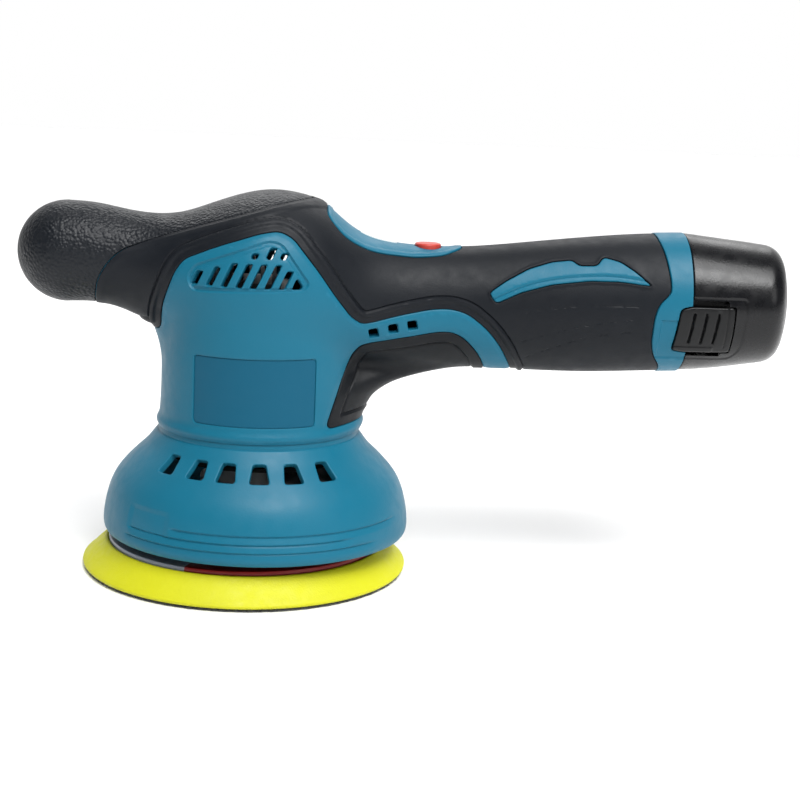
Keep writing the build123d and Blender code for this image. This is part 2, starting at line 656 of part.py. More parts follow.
with BuildPart() as battery_stem:
    add(ring(PACK_AXIS.offset(STEM_START), STEM_R, CELL_BORE, PACK_START - STEM_START))
    add(ring(PACK_AXIS.offset(STEM_START), STEM_R, 0, 1.6))
    with Locations((STEM_START - 8, 0, PACK_Z - 3)):
        Box(16, 19, 17)
    for y in (-6, 6):
        with Locations((STEM_START - 12, y, PACK_Z - 3)):
            Box(11, 2.2, 8, mode=Mode.SUBTRACT)
save(battery_stem, "battery_stem")

with BuildPart() as battery_cells:
    with BuildSketch(PACK_AXIS.offset(STEM_START + 2.0)):
        with PolarLocations(CELL_R * 1.1547 + 0.02, 3, start_angle=90):
            Circle(CELL_R)
    extrude(amount=CELL_LEN)
save(battery_cells, "battery_cells")

for side, node in ((-1, "left_latch"), (1, "right_latch")):
    with BuildPart() as latch:
        with Locations((window_x, side * 25, window_z)):
            Box(WINDOW_X[1] - WINDOW_X[0] - 0.8, 24, WINDOW_Z[1] - WINDOW_Z[0] - 0.8)
        add(pack_solid(-LATCH_PROUD), mode=Mode.INTERSECT)
        add(pack_solid(LATCH_THICK), mode=Mode.SUBTRACT)
        with Locations((window_x, side * 26, window_z + 2)):
            with GridLocations(3.1, 1, 4, 1):
                Box(1.0, 3.0, 9, mode=Mode.SUBTRACT)
    save(latch, node)
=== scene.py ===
"""Looks for the cordless dual action polisher. Shapes are worked out in millimetres, in the CAD frame."""
import json
from math import cos, pi, radians, sin

import bpy
import numpy as np
from mathutils import Matrix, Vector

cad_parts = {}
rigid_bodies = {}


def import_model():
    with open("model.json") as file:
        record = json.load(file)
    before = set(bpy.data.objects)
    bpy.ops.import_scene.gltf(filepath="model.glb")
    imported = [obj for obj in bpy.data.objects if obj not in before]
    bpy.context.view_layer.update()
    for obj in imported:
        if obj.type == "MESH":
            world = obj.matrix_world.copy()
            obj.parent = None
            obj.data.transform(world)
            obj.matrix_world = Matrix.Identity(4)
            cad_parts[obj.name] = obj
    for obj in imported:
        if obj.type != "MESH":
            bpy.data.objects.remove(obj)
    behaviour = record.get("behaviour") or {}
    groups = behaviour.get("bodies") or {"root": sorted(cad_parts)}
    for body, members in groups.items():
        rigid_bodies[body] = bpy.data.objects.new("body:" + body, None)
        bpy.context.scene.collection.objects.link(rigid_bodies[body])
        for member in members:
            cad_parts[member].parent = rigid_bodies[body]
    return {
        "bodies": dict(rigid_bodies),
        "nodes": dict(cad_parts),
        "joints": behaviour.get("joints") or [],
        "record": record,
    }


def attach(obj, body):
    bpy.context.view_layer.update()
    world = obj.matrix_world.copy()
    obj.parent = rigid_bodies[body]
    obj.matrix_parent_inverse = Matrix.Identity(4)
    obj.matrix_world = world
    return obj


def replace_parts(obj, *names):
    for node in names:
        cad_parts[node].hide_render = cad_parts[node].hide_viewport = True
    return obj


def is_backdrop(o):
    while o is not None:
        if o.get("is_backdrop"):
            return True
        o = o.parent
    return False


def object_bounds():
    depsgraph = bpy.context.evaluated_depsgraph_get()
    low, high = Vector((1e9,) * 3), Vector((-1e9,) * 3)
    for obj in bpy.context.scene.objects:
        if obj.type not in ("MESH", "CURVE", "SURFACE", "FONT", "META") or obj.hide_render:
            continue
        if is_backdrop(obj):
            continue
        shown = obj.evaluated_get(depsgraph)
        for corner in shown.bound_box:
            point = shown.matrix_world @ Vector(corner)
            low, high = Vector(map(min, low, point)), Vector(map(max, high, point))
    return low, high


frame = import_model()
cad_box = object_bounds()
nodes = frame["nodes"]
MM = 0.001
FLIP = np.array([1.0, -1.0, 1.0])      # to the other side of the middle plane

# ---- driving sizes, millimetres
ORBIT = 4.0                 # the motor axis stands this far behind the pad axis
NECK_Z, COLLAR_END = 55.5, 163.0
SKIN_DEPTH, SHELL_DEPTH = 1.0, 3.0
GAP = 0.11                  # half of the moulding gap between two skins
ROUND = 0.42                # edge rounding of skins
STEP = 1.0                  # mesh size of the body
SHARP = 38.0                # edges over this angle, degrees, are drawn sharp

# head, handle and knob: x, half width, lowest z, highest z
SPINE = np.array([
    (-68.2, 19.2, 100.2, 138.5), (-58, 18.9, 100.3, 137.9), (-50, 18.4, 99.2, 136.5),
    (-42, 19.0, 97.0, 135.2), (-35, 21.2, 94.5, 134.8), (-27, 25.6, 92.0, 135.6),
    (-16, 31.4, 89.0, 139.2), (-5, 35.6, 86.0, 143.0), (6, 37.2, 84.0, 145.1),
    (17, 35.6, 82.0, 144.3), (26, 32.4, 80.5, 141.0), (34, 28.9, 79.5, 134.6),
    (42, 25.6, 79.0, 129.6), (52, 22.8, 78.5, 127.0), (65, 20.8, 78.8, 126.0),
    (80, 20.0, 79.6, 126.2), (100, 20.8, 79.9, 128.2), (125, 22.9, 79.8, 131.2),
    (150, 24.9, 80.9, 133.5), (170, 25.5, 81.8, 134.3)])
# motor barrel: z, radius; webs: z, reach in x, half width
BARREL = np.array([(48, 38.2), (55.6, 38.3), (57.2, 38.9), (59.2, 38.2), (62, 37.7), (68, 37.4), (76, 37.3),
                   (90, 37.2), (99, 37.1), (104, 36.8), (112, 35.6), (118, 33.8), (124, 30.5)])
REAR_WEB = np.array([(50, 40.0, 26), (56.5, 41.9, 26), (59.2, 43.6, 26), (60.4, 43.4, 26), (64, 45.2, 25.5),
                     (68, 47.6, 24.5), (71.5, 51.6, 23), (74.5, 57.5, 20), (77, 65, 17), (80, 72, 14),
                     (86, 66, 12), (100, 60, 10)])
FRONT_WEB = np.array([(80, 30.0, 16), (87, 33.8, 17), (91, 35.8, 17), (95, 39.5, 16), (98.5, 45, 15),
                      (103, 49, 14), (108, 46, 13)])
KNOB_X, KNOB_Z, KNOB_R = -68.2, 119.35, 19.2

# outlines on the side, x and z
TEAL = [(-60, 40), (-60, 91.5), (-33.2, 91.5), (-32.6, 100.9), (-30.3, 108.3), (-27.5, 115.8),
        (-24.1, 120.8), (-11.9, 126.2), (3.4, 131.4), (10.3, 132.5), (15.4, 130), (25.1, 118.1),
        (31.1, 109.4), (37.3, 101.3), (41.2, 98.8), (45, 99.3), (55, 102), (66.8, 104.5),
        (73.9, 104.9), (80.5, 103.1), (88, 97.3), (93.5, 90.5), (101, 77), (101, 40)]
INSERT = [(29.2, 59.8), (34.6, 76.4), (38.6, 87.2), (41.2, 90.2), (44.5, 91.2), (60.1, 94),
          (69.4, 95.9), (74.7, 96), (79.1, 94.1), (83.1, 90.2), (86.3, 86.1), (92, 74), (60, 61.4)]
INLAY = [(88.0, 111.2), (94.1, 115.6), (102.7, 120.3), (111.3, 123.0), (118.7, 124.0),
         (121.2, 122.2), (128, 122.5), (130.3, 125.6), (136.6, 124.2), (141.9, 121.0), (148, 116.2),
         (136.2, 117.3), (125, 117.1), (111, 115.1), (99.8, 111.8), (90.6, 107.4)]
COLLAR = [(151.8, 150), (151.8, 133.5), (153.4, 128), (154.9, 118.4), (155, 114), (150.6, 109.6),
          (149.2, 104.2), (149.2, 95.2), (151.1, 89.4), (155.3, 84.2), (157, 70), (190, 70), (190, 150)]
PALM = [(-120, 90), (-58.2, 98.6), (-57.4, 102.1), (-55.6, 111.4), (-51.6, 118), (-47, 122.4),
        (-36.2, 126.7), (-24.4, 130.8), (-4.8, 137), (10.6, 141.5), (22, 143.2), (29.5, 141.5),
        (31, 160), (-120, 160)]
PANEL = [(27.6, 0), (27.8, 14.0), (33, 16.3), (42, 14), (52, 12), (62, 11), (72, 9), (78, 4.5), (79.2, 0)]
PANEL += [(x, -y) for x, y in PANEL[-2:0:-1]]
VENT_FIELD = [(-23.0, 113.8), (-20.6, 109.6), (19.6, 111.2), (22.0, 114.0), (11.6, 128.4), (6.6, 129.4),
              (-20.6, 119.2)]
LABEL = [(-19.5, 61.5), (25.0, 61.5), (25.0, 86.5), (-19.5, 86.5)]
SLOTS = [(-21.6, 112.0, 117.4), (-16.1, 112.0, 119.4), (-10.7, 112.0, 121.0), (-5.3, 112.0, 121.0),
         (-0.1, 112.0, 121.0), (5.2, 112.0, 120.9), (10.4, 112.0, 118.8), (-5.0, 122.6, 124.8),
         (0.4, 122.6, 127.0), (5.5, 122.6, 125.2)]      # foot x, lowest z, highest z
END_SLOT = [(15.2, 112.0), (18.8, 112.0), (19.4, 113.2), (17.7, 116.0), (16.8, 116.0)]
SLOT_FOOT, SLOT_WIDTH, SLOT_LEAN = 112.0, 2.5, 25.0
SQUARES = [(45.7, 95.3), (52.9, 97.0), (60.0, 98.4)]
SQUARE_HALF, SQUARE_TILT = 1.8, 0.2
GRIP_LINES = [[(102, 104.5), (112, 106.5), (127, 108.2), (143, 108.6)],
              [(100, 93.0), (110, 96.5), (122, 100.0), (143, 104.0)],
              [(103.5, 87.0), (112, 91.0), (126, 96.2), (141, 98.8)]]

# bell: radius against height
BELL = np.array([(38.1, NECK_Z - 0.1), (38.3, 54.2), (39.6, 52.2), (42.2, 48.8), (46.5, 44.6), (50.5, 40.5),
                 (53.6, 36.6), (55.6, 32.7), (56.9, 28.7), (57.8, 24.6), (58.35, 20.6), (58.4, 17.8),
                 (58.0, 16.1), (57.2, 15.0)])
BELL_WALL = 2.4
BELL_SLOTS = (-44.0, -27.5, -13.0, 2.0, 17.5, 34.0)

# battery: x, half width, lowest z, highest z
PACK = np.array([(158, 25.3, 81.3, 134.4), (163.4, 25.3, 81.6, 134.2), (176, 25.3, 82.7, 133.0),
                 (188, 24.9, 84.4, 131.8), (198, 24.4, 86.0, 130.6), (212, 23.5, 88.5, 128.8)])
PACK_END = 204.3


# ---- curves and distances
def spline(table):
    """A natural cubic spline through the rows of a table, first column against the others."""
    at, values = table[:, 0], table[:, 1:]
    count, gaps = len(at), np.diff(at)
    system, right = np.eye(count), np.zeros(values.shape)
    for i in range(1, count - 1):
        system[i, i - 1:i + 2] = gaps[i - 1], 2 * (gaps[i - 1] + gaps[i]), gaps[i]
        right[i] = 6 * ((values[i + 1] - values[i]) / gaps[i] - (values[i] - values[i - 1]) / gaps[i - 1])
    bend = np.linalg.solve(system, right)

    def value(x):
        x = np.clip(x, at[0], at[-1])
        i = np.clip(np.searchsorted(at, x) - 1, 0, count - 2)
        after, before, gap = (x - at[i])[..., None], (at[i + 1] - x)[..., None], gaps[i][..., None]
        return ((bend[i] * before ** 3 + bend[i + 1] * after ** 3) / (6 * gap)
                + (values[i] / gap - bend[i] * gap / 6) * before
                + (values[i + 1] / gap - bend[i + 1] * gap / 6) * after)
    return value


def rounded(corners, radius, steps=5):
    """A closed outline with every corner rounded, as an array of points."""
    corners, out = np.array(corners, float), []
    for i, corner in enumerate(corners):
        into, away = corners[i - 1] - corner, corners[(i + 1) % len(corners)] - corner
        reach = min(radius, 0.45 * np.hypot(*into), 0.45 * np.hypot(*away))
        start, end = corner + into / np.hypot(*into) * reach, corner + away / np.hypot(*away) * reach
        for t in np.linspace(0, 1, steps):
            out.append((1 - t) ** 2 * start + 2 * t * (1 - t) * corner + t * t * end)
    return np.array(out)


def outline_distance(points, outline):
    """Distance of 2D points to a closed outline, negative inside."""
    best = np.full(len(points), 1e9)
    inside = np.zeros(len(points), bool)
    for a, b in zip(outline, np.roll(outline, -1, axis=0)):
        edge, off = b - a, points - a
        length = edge @ edge
        if length < 1e-12:
            continue
        t = np.clip(off @ edge / length, 0, 1)
        best = np.minimum(best, ((off - t[:, None] * edge) ** 2).sum(1))
        crosses = (a[1] > points[:, 1]) != (b[1] > points[:, 1])
        slope = edge[1] if abs(edge[1]) > 1e-12 else 1e-12
        inside ^= crosses & (points[:, 0] < edge[0] * (points[:, 1] - a[1]) / slope + a[0])
    return np.sqrt(best) * np.where(inside, -1, 1)


def line_distance(points, line):
    """Distance of 2D points to an open line."""
    best = np.full(len(points), 1e9)
    for a, b in zip(line[:-1], line[1:]):
        edge, off = b - a, points - a
        t = np.clip(off @ edge / (edge @ edge), 0, 1)
        best = np.minimum(best, ((off - t[:, None] * edge) ** 2).sum(1))
    return np.sqrt(best)


def smooth_line(points, steps=40):
    """An open line drawn smoothly through a few points."""
    points = np.array(points, float)
    along = np.concatenate([[0], np.cumsum(np.hypot(*np.diff(points, axis=0).T))])
    return spline(np.column_stack([along, points]))(np.linspace(0, along[-1], steps))


def ramp(value, low, high):
    """0 below low, 1 above high, smooth between."""
    t = np.clip((value - low) / (high - low), 0, 1)
    return t * t * (3 - 2 * t)


def join(a, b, reach):
    """Smooth union of two distance fields."""
    h = np.clip(0.5 + 0.5 * (b - a) / reach, 0, 1)
    return b * (1 - h) + a * h - reach * h * (1 - h)


# ---- distance fields of body and battery
spine_at, barrel_at = spline(SPINE), spline(BARREL)
rear_at, front_at, pack_at = spline(REAR_WEB), spline(FRONT_WEB), spline(PACK)


def oval(y, z, half_width, low, high):
    """Rough distance to an upright ellipse."""
    middle, half = (low + high) / 2, (high - low) / 2
    return (np.sqrt((y / half_width) ** 2 + ((z - middle) / half) ** 2) - 1) * np.minimum(half_width, half)


def tower(p, at, way, root, low, high):
    """Rough distance to a web whose plan is an ellipse that changes with height."""
    reach, width = np.moveaxis(at(p[:, 2]), -1, 0)
    half = (reach + root) / 2
    flat = (np.sqrt(((p[:, 0] * way - half + root) / half) ** 2 + (p[:, 1] / width) ** 2) - 1) * width
    return np.maximum(flat, np.maximum(low - p[:, 2], p[:, 2] - high))


def body_field(p):
    """Negative inside the knob, head, handle and barrel."""
    x, y, z = p.T
    long = oval(y, z, *np.moveaxis(spine_at(x), -1, 0))
    tip = np.sqrt((x - KNOB_X) ** 2 + y ** 2 + (z - KNOB_Z) ** 2) - KNOB_R
    field = np.where(x < KNOB_X, tip, long)
    barrel = np.maximum(np.hypot(x - ORBIT, y) - barrel_at(z)[:, 0], z - 122)
    field = join(barrel, field, 5.0)
    field = join(tower(p, rear_at, 1, 12, 40, 98), field, 4.0)
    return join(tower(p, front_at, -1, 6, 82, 108), field, 4.0)


def pack_field(p):
    """Negative inside the battery beyond the collar."""
    x, y, z = p.T
    side = oval(y, z, *np.moveaxis(pack_at(x), -1, 0))
    end = x - PACK_END + 0.012 * y ** 2 + 0.0085 * (z - 108) ** 2
    return -join(-side, -end, 4.5)


def normals_of(field, points, reach=0.05):
    """Unit gradient of a field."""
    slope = np.zeros_like(points)
    for k in range(3):
        step = np.zeros(3)
        step[k] = reach
        slope[:, k] = field(points + step) - field(points - step)
    return slope / np.maximum(np.linalg.norm(slope, axis=1), 1e-9)[:, None]


def settle(field, points, rounds=4, reach=0.05):
    """Move points along the gradient onto the zero level of a field."""
    for _ in range(rounds):
        way = normals_of(field, points)
        here = field(points)
        rise = (field(points + way * reach) - here) / reach
        points = points - way * (here / np.maximum(rise, 0.3))[:, None]
    return points


# ---- triangle skins
class Skin:
    """Points, triangles and the outward normal at each point."""

    def __init__(self, points, tris, field=None, normals=None, locked=None):
        self.points, self.tris, self.field = points, tris, field
        self.normals = normals_of(field, points) if normals is None else normals
        self.locked = np.zeros(len(points), bool) if locked is None else locked

    def cut(self, value, *levels):
        """Split triangles along levels of a function of the points, keeping everything."""
        return self.split(value(self.points), levels)[0]

    def trim(self, value, level=0.0, rings=()):
        """Only the part where a function of the points is below a level, also cut at other levels."""
        skin, values = self.split(value(self.points), (level, *rings))
        return skin.part(values[skin.tris].mean(1) < level)

    def keep_near(self, value, level):
        """Whole triangles that reach below a level."""
        return self.part((value(self.points)[self.tris] < level).any(1))

    def part(self, chosen):
        """Only the chosen triangles."""
        used, back = np.unique(self.tris[chosen], return_inverse=True)
        tris = back.reshape(-1, 3)
        return Skin(self.points[used], tris, self.field, self.normals[used], self.locked[used])

    def crossed(self, values):
        """Edges of triangles whose ends lie on opposite sides of zero."""
        v = values[self.tris]
        return np.stack([v[:, 0] * v[:, 1] < 0, v[:, 1] * v[:, 2] < 0, v[:, 2] * v[:, 0] < 0], 1)

    def split(self, values, levels):
        """Cut at each level of the given point values; returns the new skin and its values."""
        skin = Skin(self.points.copy(), self.tris, self.field, self.normals.copy(), self.locked.copy())
        for level in levels:
            v = values - level
            v[np.abs(v) < 1e-3] = 0.0
            a, b = np.unique(np.sort(skin.edges()[skin.crossed(v)], axis=1), axis=0).T
            t = v[a] / (v[a] - v[b])
            for near, end, other in ((t < 0.2, a, b), (t > 0.8, b, a)):
                near = near & ~skin.locked[end] & (v[end] * v[other] < 0)
                end, other = end[near], other[near]
                move = np.abs(v[end] / (v[end] - v[other]))[:, None]
                place = skin.points[end] * (1 - move) + skin.points[other] * move
                skin.points[end] = place
                values[end], v[end] = level, 0.0
            skin.locked |= v == 0
            crossed = skin.crossed(v)
            number = crossed.sum(1)
            if not number.any():
                continue
            unique, back = np.unique(np.sort(skin.edges()[crossed], axis=1), axis=0, return_inverse=True)
            a, b = unique.T
            t = (v[a] / (v[a] - v[b]))[:, None]
            middle = skin.points[a] * (1 - t) + skin.points[b] * t
            normal = skin.normals[a] * (1 - t) + skin.normals[b] * t
            new = np.full(crossed.shape, -1)
            new[crossed] = back.reshape(-1) + len(skin.points)
            out = [skin.tris[number == 0]]
            for k in range(3):
                n, o = (k + 1) % 3, (k + 2) % 3
                one = (number == 1) & crossed[:, k]
                t0, m = skin.tris[one], new[one][:, k]
                out += [np.stack([t0[:, k], m, t0[:, o]], 1), np.stack([m, t0[:, n], t0[:, o]], 1)]
                two = (number == 2) & crossed[:, k] & crossed[:, o]
                t0, m, w = skin.tris[two], new[two][:, k], new[two][:, o]
                out += [np.stack([t0[:, k], m, w], 1), np.stack([m, t0[:, n], t0[:, o]], 1),
                        np.stack([m, t0[:, o], w], 1)]
            values = np.concatenate([values, np.full(len(middle), float(level))])
            skin = Skin(np.concatenate([skin.points, middle]), np.concatenate(out), skin.field,
                        np.concatenate([skin.normals, normal / np.linalg.norm(normal, axis=1)[:, None]]),
                        np.concatenate([skin.locked, np.ones(len(middle), bool)]))
        if skin.field is not None:
            skin.points = settle(skin.field, skin.points, rounds=1)
            skin.normals = normals_of(skin.field, skin.points)
        return skin, values

    def edges(self):
        """The three edges of each triangle."""
        return np.stack([self.tris, np.roll(self.tris, -1, axis=1)], -1)

    def mirrored(self):
        """The same skin on the other side of the middle plane."""
        return Skin(self.points * FLIP, self.tris[:, ::-1], self.field, self.normals * FLIP, self.locked)

    def both(self):
        """This half skin joined to its mirror image along the middle plane."""
        other = self.mirrored()
        points = np.concatenate([self.points, other.points])
        points[np.abs(points[:, 1]) < 0.01, 1] = 0.0
        _, first, back = np.unique(np.round(points, 3), axis=0, return_index=True, return_inverse=True)
        tris = back.reshape(-1)[np.concatenate([self.tris, other.tris + len(self.points)])]
        good = (tris[:, 0] != tris[:, 1]) & (tris[:, 1] != tris[:, 2]) & (tris[:, 2] != tris[:, 0])
        normals = np.concatenate([self.normals, other.normals])[first]
        return Skin(points[first], tris[good], self.field, normals)

    def squared(self, share):
        """The same skin, its normals turned square to the middle plane by a share from 0 to 1."""
        part = share(self.points)[:, None]
        across = np.sign(self.points[:, 1:2]) * np.array([0.0, 1.0, 0.0])
        normals = self.normals * (1 - part) + across * part
        normals /= np.linalg.norm(normals, axis=1)[:, None]
        return Skin(self.points, self.tris, self.field, normals, self.locked)

    def rim(self):
        """Directed edges that belong to one triangle only."""
        edges = np.concatenate([self.tris[:, [0, 1]], self.tris[:, [1, 2]], self.tris[:, [2, 0]]])
        keys = np.sort(edges, axis=1)
        _, back, count = np.unique(keys, axis=0, return_inverse=True, return_counts=True)
        return edges[count[back.reshape(-1)] == 1]

    def solid(self, name, body, slot, rise=None, depth=SKIN_DEPTH):
        """A closed Blender piece: this skin raised by a function of its points, with walls and a back."""
        lift = rise(self.points) if rise is not None else np.zeros(len(self.points))
        top = self.points + self.normals * lift[:, None]
        back = self.points - self.normals * depth
        size = len(top)
        edges = self.rim()
        walls = np.concatenate([np.stack([edges[:, 1], edges[:, 0], edges[:, 0] + size], 1),
                                np.stack([edges[:, 1], edges[:, 0] + size, edges[:, 1] + size], 1)])
        tris = np.concatenate([self.tris, self.tris[:, ::-1] + size, walls])
        return piece(name, body, np.concatenate([top, back]), tris)


def piece(name, body, points, faces):
    """A Blender mesh piece from points in millimetres, riding on a body."""
    mesh = bpy.data.meshes.new(name)
    mesh.from_pydata((points * MM).tolist(), [], faces.tolist())
    mesh.validate()
    mesh.shade_smooth()
    mesh.set_sharp_from_angle(angle=radians(SHARP))
    obj = bpy.data.objects.new(name, mesh)
    bpy.context.scene.collection.objects.link(obj)
    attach(obj, body)
    return obj


def surface_net(field, low, high, step):
    """The zero level of a field as a skin, one point in each grid cell that it crosses."""
    axes = [np.arange(low[k], high[k] + step, step) for k in range(3)]
    grid = np.stack(np.meshgrid(*axes, indexing="ij"), -1)
    shape = grid.shape[:3]
    values = field(grid.reshape(-1, 3)).reshape(shape)
    cells = tuple(n - 1 for n in shape)
    total, crossings = np.zeros(cells + (3,)), np.zeros(cells)
    corner = [(i, j, k) for i in (0, 1) for j in (0, 1) for k in (0, 1)]

    def at(array, c):
        return array[c[0]:c[0] + cells[0], c[1]:c[1] + cells[1], c[2]:c[2] + cells[2]]

    for c in corner:
        for axis in range(3):
            if c[axis]:
                continue
            d = tuple(c[k] + (k == axis) for k in range(3))
            va, vb = at(values, c), at(values, d)
            hit = (va < 0) != (vb < 0)
            t = np.where(hit, va / np.where(hit, va - vb, 1), 0)[..., None]
            total += (at(grid, c) * (1 - t) + at(grid, d) * t) * hit[..., None]
            crossings += hit
    active = crossings > 0
    index = np.full(cells, -1)
    index[active] = np.arange(active.sum())
    points = total[active] / crossings[active][:, None]
    tris = []
    for axis in range(3):
        u, v = [(1, 2), (2, 0), (0, 1)][axis]
        near = [slice(1, -1)] * 3
        near[axis] = slice(0, -1)
        far = list(near)
        far[axis] = slice(1, None)
        inside_near, inside_far = values[tuple(near)] < 0, values[tuple(far)] < 0
        at_edge = np.argwhere(inside_near != inside_far)
        outward = inside_near[tuple(at_edge.T)]
        origin = at_edge + 1
        origin[:, axis] -= 1
        around = []
        for du, dv in ((-1, -1), (0, -1), (0, 0), (-1, 0)):
            cell = origin.copy()
            cell[:, u] += du
            cell[:, v] += dv
            around.append(index[tuple(cell.T)])
        quad = np.stack(around, 1)
        quad[~outward] = quad[~outward][:, ::-1]
        quad = quad[(quad >= 0).all(1)]
        tris += [quad[:, [0, 1, 2]], quad[:, [0, 2, 3]]]
    points = settle(field, points)
    return Skin(points, np.concatenate(tris), field)


# ---- materials
def colour(r, g, b):
    """A colour from 0 to 255 as linear light."""
    parts = [c / 255 for c in (r, g, b)]
    return [c / 12.92 if c <= 0.04045 else ((c + 0.055) / 1.055) ** 2.4 for c in parts] + [1.0]


def tint(base, by, lift=0.0):
    """A colour made darker or paler."""
    return [min(1, c * by + lift) for c in base[:3]] + [1]


class Nodes:
    """A short way to write a shader."""

    def __init__(self, name):
        self.material = bpy.data.materials.new(name)
        self.material.use_nodes = True
        self.tree = self.material.node_tree
        self.inputs = self.tree.nodes["Principled BSDF"].inputs
        self.place = self.add("ShaderNodeTexCoord").outputs["Object"]

    def add(self, kind, **settings):
        node = self.tree.nodes.new(kind)
        for key, value in settings.items():
            setattr(node, key, value)
        return node

    def link(self, source, target):
        self.tree.links.new(source, target)

    def stretched(self, scale):
        """Object coordinates scaled by three factors."""
        mapping = self.add("ShaderNodeMapping")
        mapping.inputs["Scale"].default_value = scale
        self.link(self.place, mapping.inputs["Vector"])
        return mapping.outputs["Vector"]

    def noise(self, scale, detail=3.0, vector=None):
        noise = self.add("ShaderNodeTexNoise")
        noise.inputs["Scale"].default_value = scale
        noise.inputs["Detail"].default_value = detail
        self.link(vector or self.place, noise.inputs["Vector"])
        return noise.outputs["Fac"]

    def span(self, source, low, high, from_low=0.0, from_high=1.0):
        """Map a value to a range."""
        span = self.add("ShaderNodeMapRange")
        limits = {"From Min": from_low, "From Max": from_high, "To Min": low, "To Max": high}
        for key, value in limits.items():
            span.inputs[key].default_value = value
        self.link(source, span.inputs["Value"])
        return span.outputs["Result"]

    def mix(self, factor, one, two):
        """Mix of two colours or sockets by a factor socket."""
        mix = self.add("ShaderNodeMix", data_type="RGBA")
        self.link(factor, mix.inputs["Factor"])
        for key, value in (("A", one), ("B", two)):
            socket = [s for s in mix.inputs if s.name == key and s.type == "RGBA"][0]
            if isinstance(value, bpy.types.NodeSocket):
                self.link(value, socket)
            else:
                socket.default_value = value
        return [s for s in mix.outputs if s.type == "RGBA"][0]

    def bump(self, height, distance):
        """Add a bump on top of what the shader already has."""
        bump = self.add("ShaderNodeBump")
        bump.inputs["Distance"].default_value = distance
        bump.inputs["Strength"].default_value = 1.0
        self.link(height, bump.inputs["Height"])
        if self.inputs["Normal"].links:
            self.link(self.inputs["Normal"].links[0].from_socket, bump.inputs["Normal"])
        self.link(bump.outputs["Normal"], self.inputs["Normal"])

    def edges(self, low, high):
        """1 on convex edges, 0 elsewhere."""
        point = self.add("ShaderNodeNewGeometry").outputs["Pointiness"]
        return self.span(point, 0.0, 1.0, low, high)


def plastic(name, base, rough=0.45, grain=1500.0, depth=0.00003, spread=0.10, wear=0.25, spec=0.5,
            coat=0.0, pebble=None):
    """Moulded plastic or rubber: colour drift, fine grain, varied gloss and paler worn edges."""
    n = Nodes(name)
    tone = n.noise(14.0, 4.0)
    flat = n.mix(n.span(tone, 0, 1, 0.3, 0.7), tint(base, 1 - spread), tint(base, 1 + spread))
    rubbed = n.span(n.noise(90.0, 5.0), 0.25 * wear, wear, 0.35, 0.65)
    amount = n.add("ShaderNodeMath", operation="MULTIPLY")
    n.link(n.edges(0.53, 0.62), amount.inputs[0])
    n.link(rubbed, amount.inputs[1])
    n.link(n.mix(amount.outputs[0], flat, tint(base, 1.5, 0.03)), n.inputs["Base Color"])
    n.link(n.span(n.noise(230.0, 4.0), rough - 0.05, rough + 0.07, 0.3, 0.7), n.inputs["Roughness"])
    n.inputs["Specular IOR Level"].default_value = spec
    if coat:
        n.inputs["Coat Weight"].default_value = coat
        n.inputs["Coat Roughness"].default_value = 0.18
    n.bump(n.noise(grain, 2.0), depth)
    if pebble:
        cells = n.add("ShaderNodeTexVoronoi", feature="SMOOTH_F1")
        cells.inputs["Scale"].default_value = pebble[0]
        cells.inputs["Smoothness"].default_value = 0.35
        n.link(n.place, cells.inputs["Vector"])
        n.bump(n.span(cells.outputs["Distance"], 1.0, 0.0, 0.1, 0.75), pebble[1])
    return n.material


def metal(name, base, rough, brushed=None, grain=0.00001):
    """Machined, cast or plated metal with faint marks."""
    n = Nodes(name)
    vector = n.stretched(brushed) if brushed else None
    tone = n.noise(300.0, 4.0, vector)
    shade = n.mix(n.span(tone, 0, 1, 0.3, 0.7), tint(base, 0.82), tint(base, 1.08))
    n.link(shade, n.inputs["Base Color"])
    n.link(n.span(tone, rough - 0.06, rough + 0.10, 0.3, 0.7), n.inputs["Roughness"])
    n.inputs["Metallic"].default_value = 1.0
    n.bump(tone, grain)
    return n.material


def hook_fabric(name):
    """Hook fastener face: rows of tiny dark hooks."""
    n = Nodes(name)
    cells = n.add("ShaderNodeTexVoronoi", feature="F1")
    cells.inputs["Scale"].default_value = 900.0
    n.link(n.place, cells.inputs["Vector"])
    n.link(n.mix(cells.outputs["Distance"], colour(16, 17, 18), colour(70, 72, 74)),
           n.inputs["Base Color"])
    n.link(n.span(n.noise(400.0), 0.7, 0.95), n.inputs["Roughness"])
    n.inputs["Sheen Weight"].default_value = 0.3
    n.bump(cells.outputs["Distance"], 0.0004)
    return n.material


def foam(name):
    """Moulded polyurethane foam: a closed skin with fine pores, whose pits are darkened in colour as
    painted shade.
    """
    n = Nodes(name)
    tone = n.noise(25.0, 4.0)
    flat = n.mix(n.span(tone, 0, 1, 0.3, 0.7), colour(198, 198, 4), colour(210, 209, 12))
    pores = n.add("ShaderNodeTexVoronoi", feature="F1")
    pores.inputs["Scale"].default_value = 1400.0
    n.link(n.place, pores.inputs["Vector"])
    # painted shade: each pore's pit is darkened in the base colour
    painted_pore_shade = n.span(pores.outputs["Distance"], 0.28, 0.0, 0.02, 0.22)
    n.link(n.mix(painted_pore_shade, flat, colour(176, 178, 10)), n.inputs["Base Color"])
    n.link(n.span(n.noise(300.0), 0.5, 0.7, 0.3, 0.7), n.inputs["Roughness"])
    n.inputs["Subsurface Weight"].default_value = 0.12
    n.inputs["Subsurface Radius"].default_value = (0.002, 0.002, 0.0006)
    n.bump(pores.outputs["Distance"], 0.00006)
    n.bump(n.noise(120.0), 0.0002)
    return n.material


